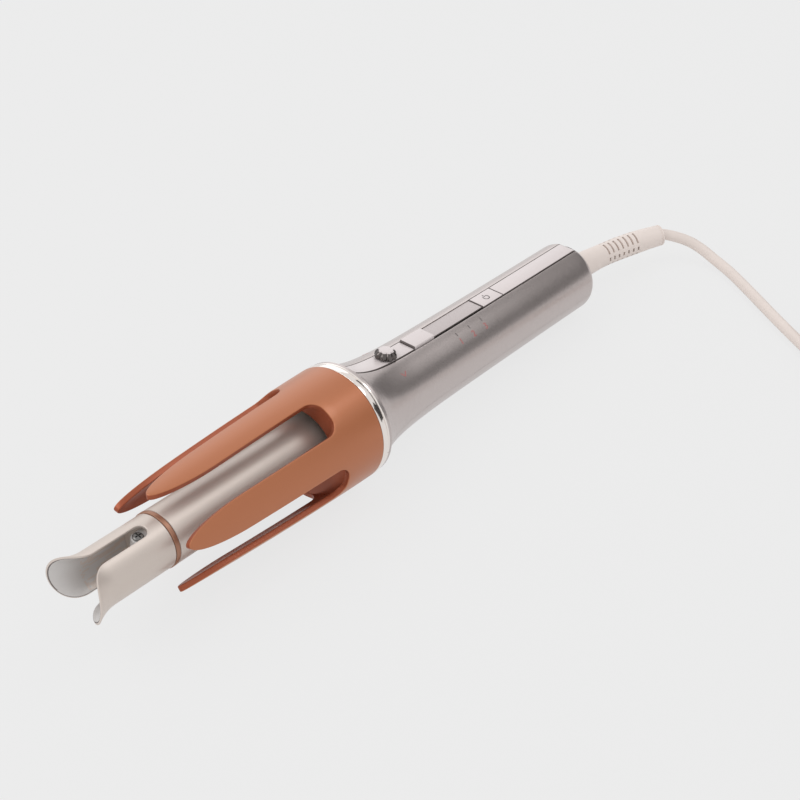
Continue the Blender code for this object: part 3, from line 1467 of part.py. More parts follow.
def build_plug(materials, swivel):
    """Flat two-pin plug that lies on its broad side."""
    start, heading = plug_back()
    width_shares = ((0.0, 0.48), (0.22, 0.52), (0.55, 0.95), (0.8, 1.0), (1.0, 1.0))
    height_shares = (0.75, 0.82, 1.0, 1.0, 1.0)
    sections = []
    for (along, wide), tall in zip(width_shares, height_shares):
        x = plug_length * along
        half_width = plug_half_width * wide
        half_height = plug_half_height * tall
        sections.append(rounded_section(x, half_width, half_height, min(plug_edge, half_height / 2)))
    body = add_part("plug_body", loft(sections), materials["cream"], swivel)
    holes = [rod(plug_length - pin_grip - seat_gap, plug_length + overrun, pin_r + seat_gap, small_segments, (side, 0))
             for side in (-pin_spread, pin_spread)]
    cutter = add_cutter("plug_pin_holes", join(holes), swivel)
    pins = []
    for index, side in enumerate((-pin_spread, pin_spread)):
        pin = rod(plug_length - pin_grip, plug_length + pin_length, pin_r, small_segments, (side, 0))
        pins.append(add_part("plug_pin_%d" % (index + 1), pin, materials["brass"], swivel))
    place = Matrix.Translation(start) @ Matrix.Rotation(plug_heading, 4, "Z")
    for item in (body, cutter, *pins):
        item.matrix_parent_inverse = swivel.matrix_world.inverted()
        item.matrix_basis = place
    combine(body, cutter)


def rounded_section(x, half_width, half_height, edge):
    """Section across the plug with rounded corners, level at its own foot."""
    lift = half_height - plug_half_height
    corners = ((1, 1, 0), (-1, 1, 1), (-1, -1, 2), (1, -1, 3))
    points = []
    for side, rise, quarter in corners:
        centre_y = side * (half_width - edge)
        centre_z = rise * (half_height - edge) + lift
        for step in range(3):
            angle = quarter_turn * (quarter + step / 2)
            points.append((x, centre_y + edge * math.cos(angle), centre_z + edge * math.sin(angle)))
    return points


def build_curler():
    clear_scene()
    materials = make_materials()
    table = add_empty("table_frame")
    axis = add_empty("curler_axis", table, (axis_start_x, 0, axis_height), (0, lie_angle, 0))
    spin = add_empty("barrel_spin", axis)
    pinion = add_empty("pinion_axis", axis, (0, 0, -gear_centre_distance))
    knob = add_empty("knob_axis", axis, (knob_x, 0, strip_top(knob_x)), (0, knob_tilt(), 0))
    start = add_empty("start_button_guide", axis, (button_centre(start_button_x, start_button_length), 0, 0))
    power = add_empty("power_button_guide", axis, (button_centre(power_button_x, power_button_length), 0, 0))
    swivel = add_empty("cord_swivel", axis)
    build_guard(materials, axis)
    build_guard_screws(materials, axis)
    build_bearing_frame(materials, axis)
    build_trim_ring(materials, axis)
    build_handle(materials, axis)
    build_strip(materials, axis, knob)
    build_button("start_button", materials, start, start_button_x, start_button_length,
                 start_button_proud, start_button_travel)
    build_button("power_button", materials, power, power_button_x, power_button_length, 0.0, power_button_travel)
    build_knob(materials, knob)
    build_carrier(materials, axis, knob)
    build_board(materials, axis)
    build_barrel(materials, spin)
    build_pinion(materials, pinion)
    build_motor(materials, axis)
    build_brushes(materials, axis)
    build_swivel_seat(materials, axis)
    build_relief(materials, swivel)
    build_cord(materials, table, swivel, axis)


build_curler()
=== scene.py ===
import math

import bmesh
import bpy
from mathutils import Matrix, Vector
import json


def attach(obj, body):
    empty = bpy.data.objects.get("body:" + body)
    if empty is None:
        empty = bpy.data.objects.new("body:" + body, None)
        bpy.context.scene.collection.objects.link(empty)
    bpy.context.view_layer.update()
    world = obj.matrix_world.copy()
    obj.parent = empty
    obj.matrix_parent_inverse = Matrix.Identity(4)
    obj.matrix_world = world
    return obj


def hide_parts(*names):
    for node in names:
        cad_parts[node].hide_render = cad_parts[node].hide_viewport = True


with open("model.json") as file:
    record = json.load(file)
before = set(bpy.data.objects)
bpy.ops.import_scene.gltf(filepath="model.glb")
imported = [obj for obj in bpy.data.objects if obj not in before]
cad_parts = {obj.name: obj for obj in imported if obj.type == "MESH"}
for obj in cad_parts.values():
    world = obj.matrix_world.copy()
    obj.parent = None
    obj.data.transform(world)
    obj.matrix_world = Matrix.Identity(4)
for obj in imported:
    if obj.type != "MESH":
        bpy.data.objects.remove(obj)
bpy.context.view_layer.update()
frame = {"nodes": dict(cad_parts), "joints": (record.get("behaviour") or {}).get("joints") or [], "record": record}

fullTurn = 2 * math.pi
halfTurn = math.pi
quarterTurn = math.pi / 2
weld = 0.00001
usualSharpAngle = 32
joints = {joint["name"]: joint for joint in frame["joints"]}

# The curler's own axis: x from the barrel's front end to the cord, z to the control strip
axisStart = Vector(joints["barrel_spin"]["pos_m"])
axisAlong = Vector(joints["barrel_spin"]["axis"]).normalized()
leanAngle = math.asin(-axisAlong.z)
curlerFrame = Matrix.Translation(axisStart) @ Matrix.Rotation(leanAngle, 4, "Y")


cameraSetup = {
    "place": (-0.52636, -0.46463, 0.56989),
    "right": (0.63723, -0.77067, 0.0),
    "up": (0.46604, 0.38535, 0.79644),
    "lens": 81.0,
    "sensor": 36.0,
}


def addObject(name, data):
    added = bpy.data.objects.new(name, data)
    bpy.context.scene.collection.objects.link(added)
    return added


def addCamera(setup):
    data = bpy.data.cameras.new("studioCamera")
    data.lens = setup["lens"]
    data.sensor_width = setup["sensor"]
    data.clip_start = 0.01
    data.clip_end = 20
    right = Vector(setup["right"]).normalized()
    up = Vector(setup["up"]).normalized()
    back = right.cross(up).normalized()
    camera = addObject("studioCamera", data)
    turn = Matrix((right, up, back)).transposed().to_4x4()
    camera.matrix_world = Matrix.Translation(setup["place"]) @ turn
    bpy.context.scene.camera = camera


addCamera(cameraSetup)
print("camera placed")


# One socket of a shader tree, with sums that add their own Math nodes
class Wire:
    def __init__(self, sheet, socket):
        self.sheet = sheet
        self.socket = socket

    def math(self, operation, first, second):
        return self.sheet.add("ShaderNodeMath", {"operation": operation}, {0: first, 1: second})

    def __add__(self, other):
        return self.math("ADD", self, other)

    def __radd__(self, other):
        return self.math("ADD", other, self)

    def __sub__(self, other):
        return self.math("SUBTRACT", self, other)

    def __rsub__(self, other):
        return self.math("SUBTRACT", other, self)

    def __mul__(self, other):
        return self.math("MULTIPLY", self, other)

    def __rmul__(self, other):
        return self.math("MULTIPLY", other, self)


shaderSockets = {
    "baseColour": "Base Color", "roughness": "Roughness", "metallic": "Metallic", "normal": "Normal",
    "coat": "Coat Weight", "coatRoughness": "Coat Roughness",
}


# A material's node tree, and the one method that adds nodes to it
class Sheet:
    def __init__(self, name):
        self.material = bpy.data.materials.new(name)
        self.material.use_nodes = True
        self.tree = self.material.node_tree
        self.shader = self.tree.nodes["Principled BSDF"]

    def add(self, kind, settings, values, output=0):
        node = self.tree.nodes.new(kind)
        for key, value in settings.items():
            setattr(node, key, value)
        for key, value in values.items():
            self.feed(self.find(node.inputs, key), value)
        return Wire(self, self.find(node.outputs, output))

    def find(self, sockets, key):
        if isinstance(key, int):
            return sockets[key]
        for socket in sockets:
            if socket.identifier == key or (socket.name == key and socket.enabled):
                return socket
        raise KeyError(key)

    def feed(self, socket, value):
        if isinstance(value, Wire):
            self.tree.links.new(value.socket, socket)
        elif isinstance(value, (tuple, list)) and socket.type == "RGBA":
            socket.default_value = (*value, 1.0)
        else:
            socket.default_value = value

    def noise(self, scale, detail, roughness, stretch=(1, 1, 1)):
        point = self.add("ShaderNodeTexCoord", {}, {}, "Object")
        scaled = self.add("ShaderNodeMapping", {"vector_type": "POINT"}, {"Vector": point, "Scale": stretch})
        return self.add("ShaderNodeTexNoise", {}, {
            "Vector": scaled, "Scale": scale, "Detail": detail, "Roughness": roughness}, "Fac")

    def mixColour(self, factor, first, second):
        return self.add("ShaderNodeMix", {"data_type": "RGBA"}, {
            "Factor_Float": factor, "A_Color": first, "B_Color": second}, "Result_Color")

    def bump(self, height, distance):
        values = {"Height": height, "Distance": distance, "Strength": 1.0}
        return self.add("ShaderNodeBump", {}, values, "Normal")

    def set(self, **inputs):
        for key, value in inputs.items():
            self.feed(self.shader.inputs[shaderSockets[key]], value)
        return self.material


def shade(colour, factor):
    return tuple(min(1.0, part * factor) for part in colour)


# Sprayed metallic finish: fine flakes, faint cloudiness and a slight orange peel
def satinMetal(name, colour, metallic, roughness, grain, coat=0.0):
    sheet = Sheet(name)
    flakes = sheet.noise(5200, 2.0, 0.6)
    clouds = sheet.noise(28, 3.0, 0.55)
    peel = sheet.noise(900, 2.0, 0.5)
    tone = sheet.mixColour(flakes, shade(colour, 1 - 0.07 * grain), shade(colour, 1 + 0.07 * grain))
    tone = sheet.mixColour(clouds * 0.35, tone, shade(colour, 1.06))
    rough = roughness + (flakes - 0.5) * 0.12 * grain + (clouds - 0.5) * 0.05
    normal = sheet.bump(flakes * 0.6 + peel * 0.4, 0.000012 * grain)
    return sheet.set(baseColour=tone, metallic=metallic, roughness=rough, normal=normal, coat=coat,
                     coatRoughness=0.2)


# Moulded plastic or rubber with a fine spark texture and a faint change of tone
def mouldedPlastic(name, colour, roughness, bumpScale=2600, bumpHeight=0.000008, coat=0.0):
    sheet = Sheet(name)
    grain = sheet.noise(bumpScale, 3.0, 0.6)
    clouds = sheet.noise(35, 2.0, 0.5)
    tone = sheet.mixColour(clouds, shade(colour, 0.95), shade(colour, 1.04))
    rough = roughness + (grain - 0.5) * 0.1 + (clouds - 0.5) * 0.06
    return sheet.set(baseColour=tone, roughness=rough, normal=sheet.bump(grain, bumpHeight), coat=coat,
                     coatRoughness=0.1)


# Turned or brushed metal: fine lines one way, with slight stains
def brushedMetal(name, colour, roughness):
    sheet = Sheet(name)
    lines = sheet.noise(900, 3.0, 0.6, (1, 12, 12))
    stains = sheet.noise(60, 3.0, 0.6)
    tone = sheet.mixColour(lines, shade(colour, 0.9), shade(colour, 1.05))
    rough = roughness + (lines - 0.5) * 0.18 + (stains - 0.5) * 0.08
    return sheet.set(baseColour=tone, metallic=1.0, roughness=rough, normal=sheet.bump(lines, 0.00001))


# Bright plating with hairline marks
def polishedMetal(name, colour, roughness):
    sheet = Sheet(name)
    hairs = sheet.noise(1500, 2.0, 0.5, (1, 8, 1))
    smears = sheet.noise(70, 3.0, 0.6)
    rough = roughness + hairs * 0.03 + smears * 0.04
    return sheet.set(baseColour=colour, metallic=1.0, roughness=rough)


finishes = {
    "copper": satinMetal("copperSatin", (0.44, 0.15, 0.062), 0.35, 0.4, 0.8, coat=0.25),
    # A darker copy of the copper paint, painted shade for the guard's inner faces and cut walls
    "copperPaintedShade": satinMetal("copperPaintedShade", (0.33, 0.08, 0.033), 0.4, 0.36, 0.8),
    "champagne": satinMetal("champagneSatin", (0.53, 0.472, 0.458), 0.8, 0.28, 0.7),
    "barrel": satinMetal("barrelSatin", (0.62, 0.545, 0.495), 0.45, 0.42, 1.3),
    "forkInside": satinMetal("forkInside", (0.60, 0.575, 0.56), 0.2, 0.42, 1.0),
    "chrome": polishedMetal("chromePlate", (0.86, 0.80, 0.76), 0.06),
    "bronze": satinMetal("bronzeSatin", (0.36, 0.18, 0.115), 0.45, 0.38, 0.7),
    "pearl": mouldedPlastic("pearlGloss", (0.655, 0.59, 0.585), 0.26, coat=0.1),
    "display": mouldedPlastic("displayPearl", (0.51, 0.455, 0.45), 0.42, 3200, 0.00002),
    # A dark brown-grey standing in for the shadow in narrow gaps and under edges: painted shade
    "paintedGapShadow": mouldedPlastic("shadowGap", (0.15, 0.125, 0.12), 0.55),
    "black": mouldedPlastic("blackPlastic", (0.025, 0.022, 0.022), 0.5),
    "cream": mouldedPlastic("creamRubber", (0.73, 0.645, 0.60), 0.5),
    "ptfe": mouldedPlastic("bearingPlastic", (0.82, 0.79, 0.7), 0.35),
    "ceramic": mouldedPlastic("whiteCeramic", (0.85, 0.84, 0.8), 0.4),
    "board": mouldedPlastic("boardGreen", (0.03, 0.2, 0.08), 0.4, coat=0.4),
    "carbon": mouldedPlastic("pressedCarbon", (0.02, 0.02, 0.02), 0.65),
    "aluminium": brushedMetal("plainAluminium", (0.75, 0.75, 0.76), 0.35),
    "steel": brushedMetal("plainSteel", (0.42, 0.41, 0.40), 0.3),
    "brass": brushedMetal("plainBrass", (0.72, 0.52, 0.22), 0.28),
    "redPrint": mouldedPlastic("redPrint", (0.42, 0.15, 0.145), 0.45),
    "greyPrint": mouldedPlastic("greyPrint", (0.10, 0.085, 0.085), 0.45),
    # A darkened copy of the chrome for the knob's sides: painted shade and dark reflection
    "paintedShadeChrome": polishedMetal("shadowedPlate", (0.13, 0.115, 0.11), 0.14),
    # A darker copy of the steel for the screw in the slot's end: painted shade
    "paintedShadeSteel": brushedMetal("paintedShadeSteel", (0.21, 0.205, 0.2), 0.38),
}
print("finishes made")


# A point at an angle from the top, turning towards the near side
def around(x, radius, angle):
    return Vector((x, -radius * math.sin(angle), radius * math.cos(angle)))


def revolve(profile, steps, start=0.0, sweep=fullTurn):
    bm = bmesh.new()
    closed = sweep > fullTurn - 0.001
    rings = []
    for step in range(steps if closed else steps + 1):
        angle = start + sweep * step / steps
        rings.append([bm.verts.new(around(x, radius, angle)) for x, radius in profile])
    following = rings[1:] + rings[:1] if closed else rings[1:]
    count = len(profile)
    for near, far in zip(rings, following):
        for index in range(count):
            after = (index + 1) % count
            if profile[index][1] > 0 or profile[after][1] > 0:
                bm.faces.new((near[index], near[after], far[after], far[index]))
    if not closed:
        bm.faces.new(rings[0])
        bm.faces.new(rings[-1])
    bmesh.ops.remove_doubles(bm, verts=bm.verts, dist=weld)
    return bm


def skin(sections, capped=True):
    bm = bmesh.new()
    rings = [[bm.verts.new(point) for point in section] for section in sections]
    count = len(rings[0])
    for near, far in zip(rings, rings[1:]):
        for index in range(count):
            after = (index + 1) % count
            bm.faces.new((near[index], near[after], far[after], far[index]))
    if capped:
        bm.faces.new(rings[0])
        bm.faces.new(rings[-1])
    return bm


def slab(low, high):
    bm = bmesh.new()
    bmesh.ops.create_cube(bm, size=1)
    low, high = Vector(low), Vector(high)
    bmesh.ops.scale(bm, verts=bm.verts, vec=high - low)
    bmesh.ops.translate(bm, verts=bm.verts, vec=(low + high) / 2)
    return bm


# Extrude faces and shift what comes out
def extrudeFaces(bm, faces, shift):
    extruded = bmesh.ops.extrude_face_region(bm, geom=faces)["geom"]
    moved = [item for item in extruded if isinstance(item, bmesh.types.BMVert)]
    bmesh.ops.translate(bm, verts=moved, vec=shift)


def joined(shapes):
    whole = shapes[0]
    for shape in shapes[1:]:
        mesh = bpy.data.meshes.new("joined")
        shape.to_mesh(mesh)
        shape.free()
        whole.from_mesh(mesh)
        bpy.data.meshes.remove(mesh)
    return whole


# Round the corners of a closed profile of (x, radius) points
def rounded(profile, radius, steps=4):
    result = []
    count = len(profile)
    for index in range(count):
        here = Vector(profile[index])
        before = Vector(profile[index - 1]) - here
        after = Vector(profile[(index + 1) % count]) - here
        reach = min(radius, before.length * 0.45, after.length * 0.45)
        first = here + before.normalized() * reach
        last = here + after.normalized() * reach
        for step in range(steps + 1):
            share = step / steps
            point = first * (1 - share) ** 2 + here * (2 * share * (1 - share)) + last * share ** 2
            result.append((point.x, point.y))
    return result


# A tube's closed profile, with rounded corners
def tubeProfile(front, rear, bore, outer, corner):
    return rounded(((front, bore), (front, outer), (rear, outer), (rear, bore)), corner)


# Points on an arc about the origin
def arcPoints(radius, start, sweep, steps):
    turns = [start + sweep * step / steps for step in range(steps + 1)]
    return [(radius * math.cos(turn), radius * math.sin(turn)) for turn in turns]


def placeMesh(name, bm, place, sharpAngle=usualSharpAngle):
    bmesh.ops.recalc_face_normals(bm, faces=bm.faces)
    bmesh.ops.transform(bm, matrix=place, verts=bm.verts)
    mesh = bpy.data.meshes.new(name)
    bm.to_mesh(mesh)
    bm.free()
    mesh.shade_smooth()
    mesh.set_sharp_from_angle(angle=math.radians(sharpAngle))
    return addObject(name, mesh)


def softenEdges(piece, width, segments=3, angle=35):
    bevel = piece.modifiers.new("softEdges", "BEVEL")
    bevel.width = width
    bevel.segments = segments
    bevel.limit_method = "ANGLE"
    bevel.angle_limit = math.radians(angle)


# Cut a shape out of a piece and keep the plain result
def cutBy(piece, bm, place):
    cutter = placeMesh(piece.name + "Cutter", bm, place)
    cut = piece.modifiers.new("cut", "BOOLEAN")
    cut.operation = "DIFFERENCE"
    cut.solver = "EXACT"
    cut.object = cutter
    settle(piece)
    bpy.data.objects.remove(cutter, do_unlink=True)


# Turn a piece's modifiers into its plain mesh
def settle(piece):
    bpy.context.view_layer.update()
    evaluated = piece.evaluated_get(bpy.context.evaluated_depsgraph_get())
    mesh = bpy.data.meshes.new_from_object(evaluated)
    piece.modifiers.clear()
    piece.data = mesh
    mesh.set_sharp_from_angle(angle=math.radians(usualSharpAngle))


def dress(piece, finish, body, nodes=()):
    piece.data.materials.clear()
    piece.data.materials.append(finishes[finish])
    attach(piece, body)
    if nodes:
        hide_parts(*nodes)
    return piece


# Give the faces that look between two amounts away from the curler's axis another finish
def finishFacing(piece, finish, lowest, highest, reach=1.0):
    piece.data.materials.append(finishes[finish])
    index = len(piece.data.materials) - 1
    inverse = curlerFrame.inverted()
    for face in piece.data.polygons:
        centre = inverse @ face.center
        outward = Vector((0, centre.y, centre.z)).normalized()
        if lowest <= (inverse.to_3x3() @ face.normal).dot(outward) <= highest and centre.x < reach:
            face.material_index = index


def clamp(value):
    return min(1.0, max(0.0, value))


def eased(share):
    return share * share * (3 - 2 * share)


# A smooth curve through a table's own values
def smoothStep(value, knots, results):
    count = len(knots)
    index = 0
    while index < count - 2 and value > knots[index + 1]:
        index += 1
    slopes = [(results[i + 1] - results[i]) / (knots[i + 1] - knots[i]) for i in range(count - 1)]

    def slopeAt(place):
        if place == 0:
            return slopes[0]
        if place == count - 1:
            return slopes[-1]
        low, high = slopes[place - 1], slopes[place]
        return 0.0 if low * high <= 0 else 2 * low * high / (low + high)

    span = knots[index + 1] - knots[index]
    share = clamp((value - knots[index]) / span)
    first, last = results[index], results[index + 1]
    bend = share * (1 - share) ** 2 * slopeAt(index) - share * share * (1 - share) * slopeAt(index + 1)
    return first + (last - first) * eased(share) + bend * span


reliefShape = {
    "startX": 0.3151, "length": 0.075, "bend": math.radians(-27.5), "lift": math.radians(3.9),
    "radius": 0.0073, "shares": (1.0, 1.0, 0.97, 0.91, 0.89, 0.9, 0.9, 0.87, 0.83, 0.81),
    "endShare": 0.947,  # the photographed end comes a little before the solid's end
    "flangeReach": 0.012, "flangeLength": 0.003, "flangeR": 0.01, "sides": 48, "steps": 60,
    "slotCount": 7, "slotFirst": 0.4, "slotLast": 0.69, "slotWidth": 0.0012, "slotDepth": 0.0019,
    "longSlot": 0.0068, "shortSlot": 0.0022, "slotRows": 6, "slotRoll": math.radians(29),
    "collar": 0.0014, "collarGroove": 0.0004,
}
cordShape = {
    "radius": 0.0031, "gap": 0.0003, "samples": 8, "coilSteps": 40,
    "route": ((0.2596, -0.0224, 0.0146), (0.2649, -0.029, 0.0112), (0.2672, -0.0364, 0.0077),
              (0.2673, -0.0438, 0.0048), (0.2659, -0.051, 0.0034), (0.2626, -0.0589, 0.00315),
              (0.254, -0.075, 0.00315), (0.24, -0.0998, 0.00315), (0.2264, -0.1248, 0.0033)),
    "tail": ((0.205, -0.1857, 0.0109), (0.2026, -0.1979, 0.0102), (0.2024, -0.2083, 0.0093),
             (0.2052, -0.2188, 0.0082), (0.2108, -0.2276, 0.0072), (0.2188, -0.2346, 0.00685)),
    "coilCentre": (0.2564, -0.169), "coilInner": 0.0233, "coilPitch": 0.0068, "coilTurns": 7.05,
    "coilEntry": math.radians(151), "coilLift": 0.0011, "plugHeading": math.radians(-31),
}


def reliefEndDirection():
    level = math.cos(reliefShape["lift"])
    bend = reliefShape["bend"]
    return Vector((level * math.cos(bend), level * math.sin(bend), math.sin(reliefShape["lift"])))


# A point on the relief's middle line, from 0 at the handle to 1 at the solid's end
def reliefPoint(share):
    start = Vector((reliefShape["startX"], 0, 0))
    out = Vector((1, 0, 0))
    endOut = reliefEndDirection()
    end = start + (out + endOut).normalized() * reliefShape["length"]
    first = start + out * reliefShape["length"] / 3
    second = end - endOut * reliefShape["length"] / 3
    rest = 1 - share
    return (start * rest ** 3 + first * (3 * rest ** 2 * share)
            + second * (3 * rest * share ** 2) + end * share ** 3)


def reliefFrame(share):
    low = reliefPoint(max(0.0, share - 0.01))
    high = reliefPoint(min(1.0, share + 0.01))
    heading = (high - low).normalized()
    side = Vector((0, 0, 1)).cross(heading).normalized()
    return reliefPoint(share), heading, side, heading.cross(side)


def betweenKnots(first, last, firstTime, lastTime, moment):
    return first + (last - first) * ((moment - firstTime) / (lastTime - firstTime))


def curvePoint(knots, share):
    times = [0.0]
    for low, high in zip(knots, knots[1:]):
        times.append(times[-1] + math.sqrt((high - low).length))
    moment = times[1] + (times[2] - times[1]) * share
    edges = [betweenKnots(knots[i], knots[i + 1], times[i], times[i + 1], moment) for i in range(3)]
    chords = [betweenKnots(edges[i], edges[i + 1], times[i], times[i + 2], moment) for i in range(2)]
    return betweenKnots(chords[0], chords[1], times[1], times[2], moment)


def smoothRoute(points):
    samples = cordShape["samples"]
    knots = [2 * points[0] - points[1]] + list(points) + [2 * points[-1] - points[-2]]
    curve = []
    for index in range(len(points) - 1):
        for step in range(samples):
            curve.append(curvePoint(knots[index:index + 4], step / samples))
    curve.append(points[-1])
    return curve


# The coil winds inwards on the table and out again in a second layer on top
def coilPoint(turns):
    rise = eased(clamp(turns * 2 + 0.5))
    radius = cordShape["coilInner"] + cordShape["coilPitch"] * abs(turns)
    angle = cordShape["coilEntry"] + fullTurn * (turns + cordShape["coilTurns"] / 2)
    height = cordShape["radius"] + cordShape["coilLift"] + cordShape["coilPitch"] * rise
    centre = cordShape["coilCentre"]
    return Vector((centre[0] + radius * math.cos(angle), centre[1] + radius * math.sin(angle), height))


def coilHeading(turns):
    angle = cordShape["coilEntry"] + fullTurn * (turns + cordShape["coilTurns"] / 2)
    return Vector((-math.sin(angle), math.cos(angle), 0))


def cordPath():
    exitPoint = curlerFrame @ reliefPoint(reliefShape["endShare"])
    exitHeading = (curlerFrame.to_3x3() @ reliefFrame(reliefShape["endShare"])[1]).normalized()
    start = exitPoint + exitHeading * cordShape["gap"]
    half = cordShape["coilTurns"] / 2
    radius = cordShape["radius"]
    steps = round(cordShape["coilTurns"] * cordShape["coilSteps"])
    coil = [coilPoint(-half + cordShape["coilTurns"] * step / steps) for step in range(steps + 1)]
    entry = coil[0] - coilHeading(-half) * 2 * radius
    leave = coil[-1] + coilHeading(half) * 2 * radius
    plugOut = Vector((math.cos(cordShape["plugHeading"]), math.sin(cordShape["plugHeading"]), 0))
    lead = [start, start + exitHeading * radius / 2] + [Vector(p) for p in cordShape["route"]] + [entry]
    tailEnd = Vector(cordShape["tail"][-1])
    tail = [leave] + [Vector(p) for p in cordShape["tail"][:-1]] + [tailEnd - plugOut * 2 * radius, tailEnd]
    return smoothRoute(lead) + coil + smoothRoute(tail), start


def makeCord():
    points, start = cordPath()
    data = bpy.data.curves.new("powerCord", "CURVE")
    data.dimensions = "3D"
    data.bevel_depth = cordShape["radius"]
    data.bevel_resolution = 6
    data.use_fill_caps = True
    spline = data.splines.new("POLY")
    spline.points.add(len(points) - 1)
    for slot, point in zip(spline.points, points):
        slot.co = (*point, 1.0)
    cord = addObject("powerCord", data)
    length = sum((high - low).length for low, high in zip(points, points[1:]))
    dress(cord, "cream", "cord_assembly", ("power_cord", "cord_coil", "cord_tail"))
    return cord, start, length


cord, cordExit, cordLength = makeCord()
print("cord laid, metres: %.3f" % cordLength)


guardShape = {
    "prongs": 5, "roll": math.radians(-5), "rearX": 0.119, "length": 0.123, "rearR": 0.0303, "tipR": 0.0256,
    "curve": 1.6, "wall": 0.003, "edge": 0.0007, "halfAngle": math.radians(17.3), "roundLength": 0.036,
    "ringLength": 0.024, "cornerR": 0.007, "columns": 24,
    "faceFront": 0.0952, "faceRear": 0.0982, "mouthR": 0.019, "faceCorner": 0.0006, "rows": 20,
}


def guardRadius(x):
    share = max(0.0, (guardShape["rearX"] - x) / guardShape["length"])
    return guardShape["rearR"] - (guardShape["rearR"] - guardShape["tipR"]) * share ** guardShape["curve"]


def fingerOutline(tipX, rootX, rearX, halfWidth, roundLength, halfArc, cornerR, tipSteps, cornerSteps):
    upper = []
    for step in range(tipSteps + 1):
        turn = quarterTurn * step / tipSteps
        upper.append((tipX + roundLength * (1 - math.cos(turn)), halfWidth * math.sin(turn)))
    for step in range(cornerSteps + 1):
        turn = quarterTurn * step / cornerSteps
        upper.append((rootX - cornerR + cornerR * math.sin(turn), halfWidth + cornerR * (1 - math.cos(turn))))
    if upper[-1][1] < halfArc - weld:
        upper.append((rootX, halfArc))
    upper.append((rearX, halfArc))
    return upper + [(x, -arc) for x, arc in reversed(upper[1:])]


# A flat sector with softened rims, sliced finely enough to be wrapped round
def sectorPlate(outline, halfArc, wall, edge, columns, rows):
    flat = bmesh.new()
    face = flat.faces.new([flat.verts.new((x, arc, 0)) for x, arc in outline])
    extrudeFaces(flat, [face], (0, 0, -wall))
    rearX = max(x for x, arc in outline)

    def openRim(item):
        level = abs(item.verts[0].co.z - item.verts[1].co.z) < weld
        side = all(abs(abs(vert.co.y) - halfArc) < weld for vert in item.verts)
        rear = all(abs(vert.co.x - rearX) < weld for vert in item.verts)
        return level and not side and not rear

    rim = [item for item in flat.edges if openRim(item)]
    bmesh.ops.bevel(flat, geom=rim, offset=edge, segments=3, profile=0.6, affect="EDGES")
    for step in range(1, columns):
        arc = -halfArc + 2 * halfArc * step / columns
        sliceAt(flat, Vector((0, arc, 0)), Vector((0, 1, 0)))
    for x in rows:
        sliceAt(flat, Vector((x, 0, 0)), Vector((1, 0, 0)))
    sides = [item for item in flat.faces if all(abs(abs(vert.co.y) - halfArc) < weld for vert in item.verts)]
    bmesh.ops.delete(flat, geom=sides, context="FACES")
    return flat


def sliceAt(bm, point, normal):
    geometry = bm.verts[:] + bm.edges[:] + bm.faces[:]
    bmesh.ops.bisect_plane(bm, geom=geometry, dist=weld, plane_co=point, plane_no=normal)


def wrapRound(flat, radiusAt, referenceR):
    for vert in flat.verts:
        x, arc, depth = vert.co
        vert.co = around(x, radiusAt(x) + depth, arc / referenceR)
    return flat


# Nodes that repeat a sector a number of times round the X axis
def repeatTree(name, finish):
    tree = bpy.data.node_groups.new(name, "GeometryNodeTree")
    for label, kind in (("Sector", "Geometry"), ("Copies", "Int"), ("Roll", "Float"), ("Weld", "Float")):
        tree.interface.new_socket(label, in_out="INPUT", socket_type="NodeSocket" + kind)
    tree.interface.new_socket("Whole", in_out="OUTPUT", socket_type="NodeSocketGeometry")
    kinds = {
        "given": "NodeGroupInput", "result": "NodeGroupOutput", "line": "GeometryNodeMeshLine",
        "index": "GeometryNodeInputIndex", "share": "ShaderNodeMath", "angle": "ShaderNodeMath",
        "turn": "ShaderNodeCombineXYZ", "instances": "GeometryNodeInstanceOnPoints",
        "realize": "GeometryNodeRealizeInstances", "merge": "GeometryNodeMergeByDistance",
        "material": "GeometryNodeSetMaterial",
    }
    nodes = {label: tree.nodes.new(kind) for label, kind in kinds.items()}
    nodes["line"].inputs["Offset"].default_value = (0, 0, 0)
    nodes["share"].operation = "DIVIDE"
    nodes["angle"].operation = "MULTIPLY_ADD"
    nodes["angle"].inputs[1].default_value = fullTurn
    nodes["material"].inputs["Material"].default_value = finishes[finish]
    for source, output, target, socket in (
            ("given", "Copies", "line", "Count"), ("index", 0, "share", 0), ("given", "Copies", "share", 1),
            ("share", 0, "angle", 0), ("given", "Roll", "angle", 2), ("angle", 0, "turn", "X"),
            ("line", "Mesh", "instances", "Points"), ("given", "Sector", "instances", "Instance"),
            ("turn", 0, "instances", "Rotation"), ("instances", "Instances", "realize", "Geometry"),
            ("realize", "Geometry", "merge", "Geometry"), ("given", "Weld", "merge", "Distance"),
            ("merge", "Geometry", "material", "Geometry"), ("material", "Geometry", "result", "Whole")):
        tree.links.new(nodes[source].outputs[output], nodes[target].inputs[socket])
    return tree


# Repeat a sector round the curler's axis and set the result in its place
def repeatRound(name, sector, copies, roll, finish, extra):
    bmesh.ops.recalc_face_normals(sector, faces=sector.faces)
    mesh = bpy.data.meshes.new(name)
    sector.to_mesh(mesh)
    sector.free()
    piece = addObject(name, mesh)
    tree = repeatTree(name + "Repeat", finish)
    modifier = piece.modifiers.new("repeat", "NODES")
    modifier.node_group = tree
    wanted = {"Copies": copies, "Roll": roll, "Weld": weld}
    for item in tree.interface.items_tree:
        if item.in_out == "INPUT" and item.name in wanted:
            modifier[item.identifier] = wanted[item.name]
    settle(piece)
    bm = bmesh.new()
    bm.from_mesh(piece.data)
    bpy.data.objects.remove(piece, do_unlink=True)
    return placeMesh(name, joined([bm, extra]), curlerFrame)


